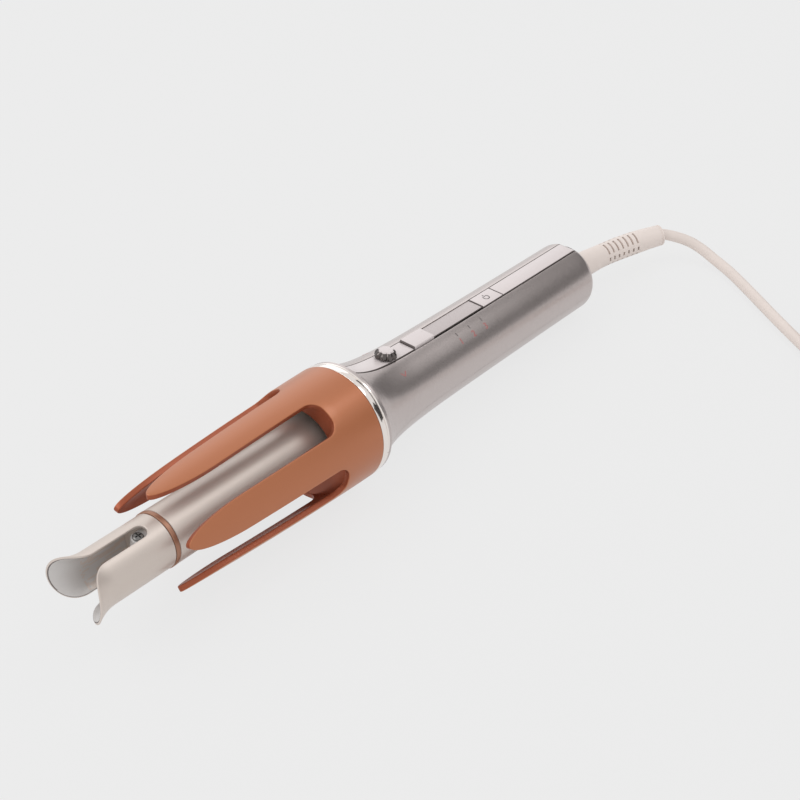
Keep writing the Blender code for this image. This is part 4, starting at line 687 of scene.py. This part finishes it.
def makeGuard():
    shape = guardShape
    halfAngle = halfTurn / shape["prongs"]
    halfArc = halfAngle * shape["rearR"]
    tipX = shape["rearX"] - shape["length"]
    outline = fingerOutline(tipX, shape["rearX"] - shape["ringLength"], shape["rearX"],
                            shape["halfAngle"] * shape["rearR"], shape["roundLength"], halfArc,
                            shape["cornerR"], 16, 8)
    rows = [tipX + shape["length"] * step / shape["rows"] for step in range(1, shape["rows"])]
    plate = sectorPlate(outline, halfArc, shape["wall"], shape["edge"], shape["columns"], rows)
    sector = wrapRound(plate, guardRadius, shape["rearR"])
    faceR = guardRadius(shape["faceRear"]) - shape["wall"] / 2
    profile = tubeProfile(shape["faceFront"], shape["faceRear"], shape["mouthR"], faceR, shape["faceCorner"])
    face = revolve(profile, 120)
    guard = repeatRound("guardCage", sector, shape["prongs"], shape["roll"], "copper", face)
    dress(guard, "copper", "root", ("guard_cage",))
    # The guard's inward and side faces take the darker copper copy: painted shade
    finishFacing(guard, "copperPaintedShade", -1.0, 0.2)


makeGuard()
print("guard wrapped")


# Each ring's name, front, rear, bore, outer radius, steps, finish, body, slot and node
turnedRings = (
    ("barrelTube", 0.0, 0.114, 0.0128, 0.014, 128,
     "barrel", "barrel_assembly", "champagne_metal", "barrel_tube"),
    ("tipRing", -0.0027, -0.0003, 0.0117, 0.0141, 128,
     "bronze", "barrel_assembly", "brown_bronze", "tip_ring"),
    ("trimRing", 0.1193, 0.1227, 0.0264, 0.0303, 160,
     "chrome", "root", "chrome", "trim_ring"),
)
ringCorner = 0.0003


def makeRings():
    for name, front, rear, bore, outer, steps, finish, body, slotName, node in turnedRings:
        profile = tubeProfile(front, rear, bore, outer, ringCorner)
        ring = placeMesh(name, revolve(profile, steps), curlerFrame)
        dress(ring, finish, body, (node,))


makeRings()


forkShape = {
    "radius": 0.0137, "wall": 0.0013, "frontX": -0.0507, "rearX": -0.003, "roll": math.radians(10),
    "gap": 0.0075, "gapDepth": 0.0405, "roundLength": 0.014, "flare": 0.0041, "flareLength": 0.014,
    "floorX": -0.0092, "floorThickness": 0.004, "spigotR": 0.0114, "spigotEnd": 0.0075,
    "screwR": 0.0026, "screwHeight": 0.0012, "bossTop": 0.0099, "bossR": 0.0033, "bossEdge": 0.0003,
    "edge": 0.00045, "columns": 56, "flareRows": 16, "restRows": 10, "flareShare": 0.34,
    "seat": 0.0005, "spigotWall": 0.002,
}


def forkRadius(x):
    share = max(0.0, (forkShape["frontX"] + forkShape["flareLength"] - x) / forkShape["flareLength"])
    return forkShape["radius"] + forkShape["flare"] * share ** 2


def makeFork():
    shape = forkShape
    halfArc = quarterTurn * shape["radius"]
    gapHalf = shape["gap"] / 2
    outline = fingerOutline(shape["frontX"], shape["frontX"] + shape["gapDepth"], shape["rearX"],
                            halfArc - gapHalf, shape["roundLength"], halfArc, gapHalf, 20, 8)
    length = shape["rearX"] - shape["frontX"]
    flared, rest = shape["flareShare"], 1 - shape["flareShare"]
    shares = [flared * step / shape["flareRows"] for step in range(1, shape["flareRows"] + 1)]
    shares += [flared + rest * step / shape["restRows"] for step in range(1, shape["restRows"])]
    rows = [shape["frontX"] + length * share for share in shares]
    plate = sectorPlate(outline, halfArc, shape["wall"], shape["edge"], shape["columns"], rows)
    sector = wrapRound(plate, forkRadius, shape["radius"])
    seatR = shape["radius"] - shape["wall"] / 2
    floorRear = shape["floorX"] + shape["floorThickness"]
    seatX = shape["rearX"] - shape["seat"]
    spigotBore = shape["spigotR"] - shape["spigotWall"]
    floor = revolve(((shape["floorX"], 0), (shape["floorX"], seatR), (seatX, seatR),
                     (seatX, shape["spigotR"]), (shape["spigotEnd"], shape["spigotR"]),
                     (shape["spigotEnd"], spigotBore), (floorRear, spigotBore), (floorRear, 0)), 96)
    fork = repeatRound("tipFork", sector, 2, shape["roll"] - quarterTurn, "barrel", floor)
    dress(fork, "barrel", "barrel_assembly", ("tip_fork",))
    finishFacing(fork, "forkInside", -1.0, -0.85)
    # The inner bevel faces along the wings' rims, in front of the floor, take the dark gap finish: a painted
    # shadow line
    finishFacing(fork, "paintedGapShadow", -0.85, -0.35, shape["floorX"] - shape["floorThickness"])
    makeScrews()


# A screw's head with a chamfered rim, looking along +Z from its seat
def screwHead():
    shape = forkShape
    radius, height = shape["screwR"], shape["screwHeight"]
    profile = [(0, 0), (0, radius), (height * 0.55, radius), (height * 0.9, radius * 0.82),
               (height, radius * 0.5), (height, 0)]
    head = revolve(profile, 48)
    bmesh.ops.rotate(head, verts=head.verts, matrix=Matrix.Rotation(-quarterTurn, 3, "Y"))
    return head


# The two bars that cut its cross recess
def crossRecess():
    shape = forkShape
    wide, long, low = shape["screwR"] * 0.14, shape["screwR"] * 0.66, shape["screwHeight"] * 0.3
    return [slab((-wide, -long, low), (wide, long, 0.01)), slab((-long, -wide, low), (long, wide, 0.01))]


# One screw on the axis, and one under the rounded end of the slot, in a boss of the fork
def makeScrews():
    shape = forkShape
    axial = Matrix.Translation((shape["floorX"] - 0.0001, 0, 0)) @ Matrix.Rotation(-quarterTurn, 4, "Y")
    slotEnd = shape["frontX"] + shape["gapDepth"] - shape["gap"] / 2
    radial = Matrix.Rotation(shape["roll"], 4, "X") @ Matrix.Translation((slotEnd, 0, shape["bossTop"]))
    # The screw in the slot's end takes the darker steel copy: painted shade
    for name, place, finish, nodes in (("tipScrew", axial, "steel", ("tip_screw",)),
                                       ("slotScrew", radial, "paintedShadeSteel", ())):
        screw = placeMesh(name, screwHead(), curlerFrame @ place)
        for bar in crossRecess():
            cutBy(screw, bar, curlerFrame @ place)
        dress(screw, finish, "barrel_assembly", nodes)
    boss = arcPoints(shape["bossR"], quarterTurn, halfTurn, 24)
    rear = shape["floorX"] - radial.translation.x + 0.001
    outline = boss + [(rear, -shape["bossR"]), (rear, shape["bossR"])]
    depth = shape["bossTop"] * 0.5
    block = skin([[Vector((x, y, z)) for x, y in outline] for z in (-depth, -0.0001)])
    piece = placeMesh("screwBoss", block, curlerFrame @ radial)
    softenEdges(piece, shape["bossEdge"])
    dress(piece, "forkInside", "barrel_assembly")


makeFork()
print("barrel and tip turned")


handleShape = {
    "frontX": 0.123, "rearX": 0.315, "lipR": 0.030, "rearR": 0.0193, "wall": 0.0022, "lipLength": 0.0026,
    "shoulder": 0.005, "rearWall": 0.0022, "boreR": 0.009, "parting": 0.00018,
    "seatR": 0.0264, "seatEnd": 0.1263, "upperSweep": math.radians(200),
    "lengthShares": (0.0, 0.005, 0.011, 0.031, 0.05, 0.076, 0.104, 0.16, 0.216, 0.322, 0.513, 0.748, 1.0),
    "flareShares": (1.0, 0.92, 0.794, 0.645, 0.533, 0.42, 0.327, 0.215, 0.154, 0.093, 0.051, 0.019, 0.0),
    "steps": 90, "stations": 70, "shoulderSteps": 12, "lipEdge": 0.0005, "lipFlat": 0.0011,
    "boreEdge": 0.0004, "edge": 0.0003, "chromeReach": 0.0009,
}
stripShape = {
    "halfWidth": 0.0049, "noseHalfWidth": 0.0036, "thickness": 0.0015, "groove": 0.00085,
    "frontX": 0.1286, "taperEnd": 0.147, "frontEnd": 0.1722, "startX": 0.1726, "startEnd": 0.1884,
    "displayX": 0.1888, "displayEnd": 0.2292, "powerX": 0.2296, "powerEnd": 0.2462, "rearStart": 0.2466,
    "rearX": 0.3137, "raised": 0.0013, "sunk": 0.0004, "edge": 0.00035, "floorZ": 0.0101,
    "channelHeight": 0.021, "nearGap": 0.0009, "farGap": 0.0003, "displayInset": 0.0009, "stationLength": 0.0018,
}
lipEnd = handleShape["frontX"] + handleShape["lipLength"]
shoulderX = handleShape["rearX"] - handleShape["shoulder"]


def handleRadius(x):
    if x <= lipEnd:
        return handleShape["lipR"]
    if x > shoulderX:
        shoulder = handleShape["shoulder"]
        past = min(x - shoulderX, shoulder)
        return handleShape["rearR"] - shoulder + math.sqrt(shoulder ** 2 - past ** 2)
    share = (x - lipEnd) / (shoulderX - lipEnd)
    flare = smoothStep(share, handleShape["lengthShares"], handleShape["flareShares"])
    return handleShape["rearR"] + (handleShape["lipR"] - handleShape["rearR"]) * flare


# Stations that crowd towards the flare
def handleStations():
    count = handleShape["stations"]
    return [lipEnd + (shoulderX - lipEnd) * (step / count) ** 1.9 for step in range(count + 1)]


def shellProfile():
    shape = handleShape
    front, edge = shape["frontX"], shape["lipEdge"]
    outer = [(front, shape["lipR"] - edge), (front + edge * 0.3, shape["lipR"] - edge * 0.3),
             (front + edge, shape["lipR"]), (front + shape["lipFlat"], shape["lipR"])]
    outer += [(x, handleRadius(x)) for x in handleStations()]
    for step in range(1, shape["shoulderSteps"] + 1):
        turn = quarterTurn * step / shape["shoulderSteps"]
        outer.append((shoulderX + shape["shoulder"] * math.sin(turn),
                      shape["rearR"] - shape["shoulder"] * (1 - math.cos(turn))))
    outer.append((shape["rearX"], shape["boreR"] + shape["boreEdge"]))
    outer.append((shape["rearX"] - shape["boreEdge"], shape["boreR"]))
    innerRear = shape["rearX"] - shape["rearWall"]
    inner = [(innerRear, shape["boreR"]), (innerRear, shape["rearR"] - shape["wall"] - shape["shoulder"] / 2),
             (shoulderX, shape["rearR"] - shape["wall"])]
    inner += [(x, handleRadius(x) - shape["wall"]) for x in reversed(handleStations()[1:-1:4])
              if handleRadius(x) - shape["wall"] < shape["seatR"]]
    return outer + inner + [(shape["seatEnd"], shape["seatR"]), (front, shape["seatR"])]


def makeShells():
    shape = handleShape
    margin = shape["parting"] / 2 / shape["rearR"]
    sweeps = (("upperShell", "handle_upper_shell", 0, shape["upperSweep"]),
              ("lowerShell", "handle_lower_shell", halfTurn, fullTurn - shape["upperSweep"]))
    for name, node, middle, sweep in sweeps:
        turned = sweep - 2 * margin
        bm = revolve(shellProfile(), shape["steps"], middle - turned / 2, turned)
        shell = placeMesh(name, bm, curlerFrame)
        if middle == 0:
            cutBy(shell, channelCutter(), curlerFrame)
        softenEdges(shell, shape["edge"], 2, 50)
        settle(shell)
        dress(shell, "champagne", "root", (node,))
        finishFacing(shell, "chrome", 0.3, 1.01, shape["frontX"] + shape["chromeReach"])


def stripHalfWidth(x):
    shape = stripShape
    share = clamp((x - shape["frontX"]) / (shape["taperEnd"] - shape["frontX"]))
    return shape["noseHalfWidth"] + (shape["halfWidth"] - shape["noseHalfWidth"]) * share * (2 - share)


def stripTop(x):
    return math.sqrt(handleRadius(x) ** 2 - stripHalfWidth(x) ** 2)


def channelCutter():
    shape = stripShape
    front = shape["frontX"] - shape["farGap"]
    rear = shape["rearX"] + shape["groove"] / 2
    stations = [front + (shape["taperEnd"] - front) * step / 8 for step in range(9)] + [rear]
    outline = [(x, stripHalfWidth(x) + shape["farGap"]) for x in stations]
    outline += [(x, -stripHalfWidth(x) - shape["nearGap"]) for x in reversed(stations)]
    bm = bmesh.new()
    face = bm.faces.new([bm.verts.new((x, y, shape["floorZ"])) for x, y in outline])
    extrudeFaces(bm, [face], (0, 0, shape["channelHeight"]))
    return bm


# A plate that follows the handle's surface between two stations
def stripPiece(low, high, raised, inset):
    count = max(4, round((high - low) / stripShape["stationLength"]))
    sections = []
    for step in range(count + 1):
        x = low + (high - low) * step / count
        half = stripHalfWidth(x)
        top = stripTop(x) + raised
        bottom = stripTop(x) - stripShape["thickness"]
        near, far = inset - half, half + inset * 0.2
        sections.append([(x, near, bottom), (x, far, bottom), (x, far, top), (x, near, top)])
    return skin(sections)


def makeStrip():
    shape = stripShape
    plates = (
        ("frontFascia", "front_fascia", "frontX", "frontEnd", 0.0, "pearl", "root"),
        ("displayPanel", "display_panel", "displayX", "displayEnd", -shape["sunk"], "display", "root"),
        ("rearFascia", "rear_fascia", "rearStart", "rearX", 0.0, "pearl", "root"),
        ("startButton", "start_button", "startX", "startEnd", shape["raised"], "pearl", "start_key"),
        ("powerButton", "power_button", "powerX", "powerEnd", 0.0, "pearl", "power_key"),
    )
    for name, node, front, rear, raised, finish, body in plates:
        low, high = shape[front], shape[rear]
        inset = shape["displayInset"] if raised < 0 else 0.0
        plate = placeMesh(name, stripPiece(low, high, raised, inset), curlerFrame)
        dress(plate, finish, body, (node,))
        # Side, end and under faces of each plate take the dark gap finish, only the front end on the raised
        # button: painted shadow in the gaps round the strip
        finishFacing(plate, "paintedGapShadow", -1.01, 0.5, low + 0.0002 if raised > 0 else 1.0)
        softenEdges(plate, shape["edge"])
        settle(plate)


makeShells()
makeStrip()
print("handle and strip shaped")


knobShape = {
    "x": 0.1555, "radius": 0.0058, "lift": 0.0006, "scallops": 8, "scallopSteps": 14, "depth": 0.0009,
    "neckR": 0.004, "neckLow": 0.0001, "neckOverlap": 0.0004, "capFrom": 0.0034,
    # height above the lift, inset, and share of the scallops' depth
    "rings": ((0.0, 0.0005, 1.0), (0.0002, 0.00015, 1.0), (0.0005, 0.0, 1.0), (0.002, 0.0002, 1.0),
              (0.0029, 0.0009, 1.0), (0.0035, 0.0018, 0.7), (0.0038, 0.0021, 0.5), (0.00405, 0.0024, 0.4),
              (0.0041, 0.0029, 0.3)),
}


def knobFrame():
    drop = stripTop(knobShape["x"] - knobShape["radius"]) - stripTop(knobShape["x"] + knobShape["radius"])
    tilt = math.atan2(drop, 2 * knobShape["radius"])
    place = Matrix.Translation((knobShape["x"], 0, stripTop(knobShape["x"])))
    return curlerFrame @ place @ Matrix.Rotation(tilt, 4, "Y")


def makeKnob():
    shape = knobShape
    count = shape["scallops"] * shape["scallopSteps"]
    sections = []
    for height, inset, depthShare in shape["rings"]:
        points = []
        for index in range(count):
            angle = fullTurn * index / count
            dip = abs(math.sin(angle * shape["scallops"] / 2))
            radius = shape["radius"] - inset - shape["depth"] * depthShare * (1 - dip ** 0.8)
            points.append((radius * math.cos(angle), radius * math.sin(angle), shape["lift"] + height))
        sections.append(points)
    knob = placeMesh("directionKnob", skin(sections), knobFrame())
    dress(knob, "pearl", "direction_selector", ("direction_knob",))
    # The knob's sides below the cap take the darkened chrome: painted shade and dark reflection
    knob.data.materials.append(finishes["paintedShadeChrome"])
    inverse = knobFrame().inverted()
    for face in knob.data.polygons:
        if (inverse @ face.center).z < shape["lift"] + shape["capFrom"]:
            face.material_index = 1
    outline = arcPoints(shape["neckR"], 0, fullTurn, 32)[:-1]
    heights = (shape["neckLow"], shape["lift"] + shape["neckOverlap"])
    neck = skin([[(x, y, height) for x, y in outline] for height in heights])
    dress(placeMesh("knobNeck", neck, knobFrame()), "black", "direction_selector")


makeKnob()


markShape = {
    "height": 0.0034, "weight": 0.00007, "numbersX": (0.2005, 0.2108, 0.2209),
    "numberAngle": math.radians(41.5), "tickAngle": math.radians(29), "tickLength": 0.0018,
    "stroke": 0.00042, "proud": 0.00006, "depth": 0.00012, "arrowX": 0.1548,
    "arrowAngle": math.radians(37), "arrowReach": 0.0017, "arrowRise": 0.6, "arrowWeight": 1.4,
    "iconR": 0.0017, "iconBar": 0.0019, "iconStart": math.radians(125), "iconSweep": math.radians(290),
    "sliceWidth": 0.0004, "slices": 6,
}


# Give a flat shape its thickness, with its top just above what carries it
def thickened(bm):
    extrudeFaces(bm, bm.faces[:], (0, 0, markShape["depth"]))
    bmesh.ops.translate(bm, verts=bm.verts, vec=(0, 0, markShape["proud"] - markShape["depth"]))
    bmesh.ops.recalc_face_normals(bm, faces=bm.faces)
    return bm


# Lay a flat shape on the handle, with its middle at an angle from the top
def onHandle(bm, x, angle):
    for step in range(-markShape["slices"], markShape["slices"] + 1):
        sliceAt(bm, Vector((0, step * markShape["sliceWidth"], 0)), Vector((0, 1, 0)))
    for vert in thickened(bm).verts:
        along, across = x + vert.co.x, -vert.co.y
        radius = handleRadius(along)
        vert.co = around(along, radius + vert.co.z, angle + across / radius)
    bmesh.ops.recalc_face_normals(bm, faces=bm.faces)
    return bm


def stroke(points, width):
    bm = bmesh.new()
    for first, last in zip(points, points[1:]):
        first, last = Vector(first), Vector(last)
        along = (last - first).normalized() * width / 2
        side = Vector((-along.y, along.x))
        corners = (first - along + side, first - along - side, last + along - side, last + along + side)
        bm.faces.new([bm.verts.new((corner.x, corner.y, 0)) for corner in corners])
    return bm


def numeral(digit):
    data = bpy.data.curves.new("numeral", "FONT")
    data.body = str(digit)
    data.size = markShape["height"] / 0.7
    data.align_x, data.align_y = "CENTER", "CENTER"
    data.offset = markShape["weight"]
    text = addObject("numeral", data)
    bpy.context.view_layer.update()
    mesh = bpy.data.meshes.new_from_object(text.evaluated_get(bpy.context.evaluated_depsgraph_get()))
    bm = bmesh.new()
    bm.from_mesh(mesh)
    bpy.data.objects.remove(text, do_unlink=True)
    return bm


# Plain numbers with a tick each for the three lamps, an arrow by the knob and a power sign
def makeMarks():
    shape = markShape
    reds, greys = [], []
    for index, x in enumerate(shape["numbersX"]):
        reds.append(onHandle(numeral(index + 1), x, shape["numberAngle"]))
        half = shape["tickLength"] / 2
        greys.append(onHandle(stroke([(0, -half), (0, half)], shape["stroke"]), x, shape["tickAngle"]))
    reach = shape["arrowReach"]
    for angle in (shape["arrowAngle"], -shape["arrowAngle"]):
        drop = math.copysign(reach * shape["arrowRise"], angle)
        arrow = [(-reach, drop), (0, -drop), (reach, drop)]
        reds.append(onHandle(stroke(arrow, shape["stroke"] * shape["arrowWeight"]), shape["arrowX"], angle))
    for name, shapes, finish, slotName in (("lampNumbers", reds, "redPrint", "pearl_gloss"),
                                           ("lampTicks", greys, "greyPrint", "black_plastic")):
        dress(placeMesh(name, joined(shapes), curlerFrame), finish, "root")
    radius = shape["iconR"]
    arc = stroke(arcPoints(radius, shape["iconStart"], shape["iconSweep"], 24), shape["stroke"])
    bar = stroke([(0, radius - shape["iconBar"] / 2), (0, radius + shape["iconBar"] / 2)], shape["stroke"])
    icon = thickened(joined([arc, bar]))
    centre = (stripShape["powerX"] + stripShape["powerEnd"]) / 2
    bmesh.ops.translate(icon, verts=icon.verts, vec=(centre, 0, stripTop(centre)))
    dress(placeMesh("powerSign", icon, curlerFrame), "greyPrint", "power_key")


makeMarks()


def reliefRadius(share):
    knots = [index / 9 for index in range(10)]
    return reliefShape["radius"] * smoothStep(share, knots, reliefShape["shares"])


def makeRelief():
    shape = reliefShape
    outline = arcPoints(1.0, 0, fullTurn, shape["sides"])[:-1]

    def ring(centre, across, upward, radius):
        return [centre + across * radius * x + upward * radius * y for x, y in outline]

    side, lift = Vector((0, 1, 0)), Vector((0, 0, 1))
    front = Vector((shape["startX"] - shape["flangeReach"], 0, 0))
    rear = front + Vector((shape["flangeLength"], 0, 0))
    sections = [ring(front, side, lift, shape["flangeR"]), ring(rear, side, lift, shape["flangeR"]),
                ring(rear, side, lift, shape["radius"])]
    bodyShare = shape["endShare"] - 2 * shape["collar"] / shape["length"]
    for step in range(shape["steps"] + 1):
        share = bodyShare * step / shape["steps"]
        centre, heading, across, upward = reliefFrame(share)
        sections.append(ring(centre, across, upward, reliefRadius(share)))
    centre, heading, across, upward = reliefFrame(shape["endShare"])
    endR = reliefRadius(shape["endShare"])
    groove, collar = shape["collarGroove"], shape["collar"]
    for back, drop in ((collar + groove, 0), (collar, groove), (collar - groove, groove),
                       (collar - 2 * groove, 0), (groove / 2, 0), (0, groove / 2), (0, groove)):
        sections.append(ring(centre - heading * back, across, upward, endR - drop))
    relief = placeMesh("strainRelief", skin(sections), curlerFrame)
    slots = []
    slotSpan = shape["slotLast"] - shape["slotFirst"]
    for index in range(shape["slotCount"]):
        share = shape["slotFirst"] + slotSpan * index / (shape["slotCount"] - 1)
        centre, heading, across, upward = reliefFrame(share)
        for row in range(shape["slotRows"]):
            angle = shape["slotRoll"] + fullTurn * row / shape["slotRows"]
            outward = upward * math.cos(angle) - across * math.sin(angle)
            along = across * math.cos(angle) + upward * math.sin(angle)
            length = shape["shortSlot"] if row % 2 else shape["longSlot"]
            slots.append(slotCutter(centre + outward * reliefRadius(share), heading, along, outward, length))
    cutBy(relief, joined(slots), curlerFrame)
    dress(relief, "cream", "cord_assembly", ("strain_relief",))


def slotCutter(centre, heading, along, outward, length):
    shape = reliefShape
    half, reach = shape["slotWidth"] / 2, length / 2
    bm = slab((-half, -reach, -shape["slotDepth"]), (half, reach, 0.001))
    turn = Matrix((heading, along, outward)).transposed().to_4x4()
    bmesh.ops.transform(bm, matrix=Matrix.Translation(centre) @ turn, verts=bm.verts)
    return bm


makeRelief()
print("relief slotted")


plugShape = {
    "length": 0.036, "halfWidth": 0.0128, "halfHeight": 0.00685, "edge": 0.002,
    "pinR": 0.002, "pinLength": 0.019, "pinSpread": 0.0093, "pinSunk": 0.002,
    # share of the length, of the width and of the height at each section
    "sections": ((0.0, 0.40, 0.62), (0.012, 0.47, 0.72), (0.22, 0.52, 0.82), (0.4, 0.74, 0.93),
                 (0.55, 0.95, 1.0), (0.8, 1.0, 1.0), (0.985, 1.0, 1.0), (1.0, 0.96, 0.93)),
}


def plugFrame():
    heading = cordShape["plugHeading"]
    outward = Vector((math.cos(heading), math.sin(heading), 0))
    start = Vector(cordShape["tail"][-1]) + outward * cordShape["gap"]
    return Matrix.Translation(start) @ Matrix.Rotation(heading, 4, "Z")


def makePlug():
    shape = plugShape
    sections = []
    for along, wide, tall in shape["sections"]:
        halfWidth, halfHeight = shape["halfWidth"] * wide, shape["halfHeight"] * tall
        lift = halfHeight - shape["halfHeight"] if along < 0.99 else 0.0
        edge = min(shape["edge"], halfHeight / 2)
        points = []
        for side, rise, quarter in ((1, 1, 0), (-1, 1, 1), (-1, -1, 2), (1, -1, 3)):
            for step in range(7):
                angle = quarterTurn * (quarter + step / 6)
                points.append((shape["length"] * along,
                               side * (halfWidth - edge) + edge * math.cos(angle),
                               rise * (halfHeight - edge) + lift + edge * math.sin(angle)))
        sections.append(points)
    body = placeMesh("plugBody", skin(sections), plugFrame(), 40)
    dress(body, "cream", "cord_assembly", ("plug_body",))
    pins = []
    for index, side in enumerate((-shape["pinSpread"], shape["pinSpread"])):
        start, end = shape["length"] - shape["pinSunk"], shape["length"] + shape["pinLength"]
        profile = ((start, 0), (start, shape["pinR"]), (end - 0.001, shape["pinR"]),
                   (end - 0.0003, shape["pinR"] * 0.8), (end, shape["pinR"] * 0.35), (end, 0))
        pin = revolve(profile, 32)
        bmesh.ops.translate(pin, verts=pin.verts, vec=(0, side, 0))
        piece = placeMesh("plugPin%d" % (index + 1), pin, plugFrame())
        pins.append(dress(piece, "brass", "cord_assembly", ("plug_pin_%d" % (index + 1),)))
    return [body] + pins


tieShape = {"halfWidth": 0.0045, "gap": 0.0007, "thickness": 0.0003, "corner": 0.003,
            "angle": math.radians(60)}


# A flat strap round the coil's turns, with rounded corners
def makeTie():
    shape, gap, thickness = cordShape, tieShape["gap"], tieShape["thickness"]
    outer = shape["coilInner"] + shape["coilPitch"] * shape["coilTurns"] / 2 + shape["radius"] + gap
    inner = shape["coilInner"] - shape["radius"] - gap
    top = shape["coilLift"] + shape["coilPitch"] + 2 * shape["radius"] + gap
    bottom = shape["coilLift"] - gap

    def loop(x, grow):
        low, high = Vector((inner - grow, bottom - grow / 2)), Vector((outer + grow, top + grow))
        corners = ((low.x, low.y), (high.x, low.y), (high.x, high.y), (low.x, high.y))
        outline = rounded(corners, tieShape["corner"], 5)
        return [Vector((x, across, max(z, 0.0001))) for across, z in outline]

    width = tieShape["halfWidth"]
    rings = [loop(-width, thickness), loop(-width, 0.0), loop(width, 0.0), loop(width, thickness)]
    bm = skin(rings + [rings[0]], capped=False)
    bmesh.ops.remove_doubles(bm, verts=bm.verts, dist=weld)
    turn = Matrix.Rotation(tieShape["angle"] - quarterTurn, 4, "Z")
    place = Matrix.Translation((*shape["coilCentre"], 0)) @ turn
    tie = placeMesh("cordTie", bm, place)
    return dress(tie, "black", "cord_assembly", ("cord_tie",))


plugPieces = makePlug()
tie = makeTie()
plugPieces + [tie]
print("plug and tie made")


nodeFinishes = {
    "black_plastic": "black", "bearing_plastic": "ptfe", "plain_aluminium": "aluminium", "steel": "steel",
    "brass": "brass", "white_ceramic": "ceramic", "board_green": "board", "carbon": "carbon",
    "copper_paint": "copper", "champagne_metal": "champagne", "chrome": "chrome", "pearl_gloss": "pearl",
    "display_pearl": "display", "brown_bronze": "bronze", "cream_rubber": "cream",
}
for part in frame["record"]["subparts"]:
    node = frame["nodes"][part["node"]]
    node.data.materials.clear()
    node.data.materials.append(finishes[nodeFinishes[part["material_slot"]]])
print("inner pieces finished")


studio = {
    "floorColour": (0.83, 0.83, 0.83), "shadowKept": 0.09, "worldLevel": 0.86,
    "lamps": (
        ("overheadDisc", "DISK", (0.62, -0.38, 1.08), (0.0, 0.0, 0.03), 0.42, 1.5),
        ("leftSoftbox", "SQUARE", (-0.9, 0.5, 1.1), (-0.05, 0.0, 0.03), 0.9, 5.0),
        ("farSoftbox", "SQUARE", (0.95, 1.05, 0.55), (0.05, 0.0, 0.04), 1.0, 1.6),
    ),
    "cardX": 0.8,
    "cardOutline": ((-1.1, 0.07), (0.1, 0.07), (0.1, 0.86), (-0.67, 0.47), (-0.7, 0.68), (-1.1, 0.68)),
}


def makeFloor():
    bm = bmesh.new()
    bmesh.ops.create_grid(bm, x_segments=2, y_segments=2, size=6)
    floor = placeMesh("studioFloor", bm, Matrix.Translation((0, 0, -0.0002)))
    sheet = Sheet("paleFloor")
    sheet.set(baseColour=studio["floorColour"], roughness=0.95)
    glow = sheet.add("ShaderNodeEmission", {}, {"Color": studio["floorColour"], "Strength": 1.0})
    seen = sheet.add("ShaderNodeLightPath", {}, {}, "Is Camera Ray")
    mirrored = sheet.add("ShaderNodeLightPath", {}, {}, "Is Glossy Ray")
    passed = sheet.add("ShaderNodeLightPath", {}, {}, "Is Transmission Ray")
    share = (seen + mirrored + passed) * (1 - studio["shadowKept"])
    mixed = sheet.add("ShaderNodeMixShader", {}, {0: share, 1: Wire(sheet, sheet.shader.outputs[0]), 2: glow})
    sheet.feed(sheet.tree.nodes["Material Output"].inputs["Surface"], mixed)
    floor.data.materials.append(sheet.material)


# A black card beside the set, which only shiny finishes see
def makeCard():
    bm = bmesh.new()
    bm.faces.new([bm.verts.new((studio["cardX"], y, z)) for y, z in studio["cardOutline"]])
    card = placeMesh("blackCard", bm, Matrix.Identity(4))
    card.data.materials.append(finishes["black"])
    card.visible_camera = card.visible_diffuse = card.visible_shadow = False


def makeWorld():
    world = bpy.data.worlds.new("studioWorld")
    world.use_nodes = True
    bpy.context.scene.world = world
    background = world.node_tree.nodes["Background"]
    background.inputs["Color"].default_value = (1, 1, 1, 1)
    background.inputs["Strength"].default_value = studio["worldLevel"]


def addLamp(name, kind, place, target, size, power):
    data = bpy.data.lights.new(name, "AREA")
    data.shape = kind
    data.size = size
    data.energy = power
    direction = Vector(target) - Vector(place)
    turn = direction.to_track_quat("-Z", "Y").to_matrix().to_4x4()
    addObject(name, data).matrix_world = Matrix.Translation(place) @ turn


makeFloor()
makeCard()
makeWorld()
for lamp in studio["lamps"]:
    addLamp(*lamp)
bpy.context.scene.view_settings.view_transform = "Standard"
print("studio lit")
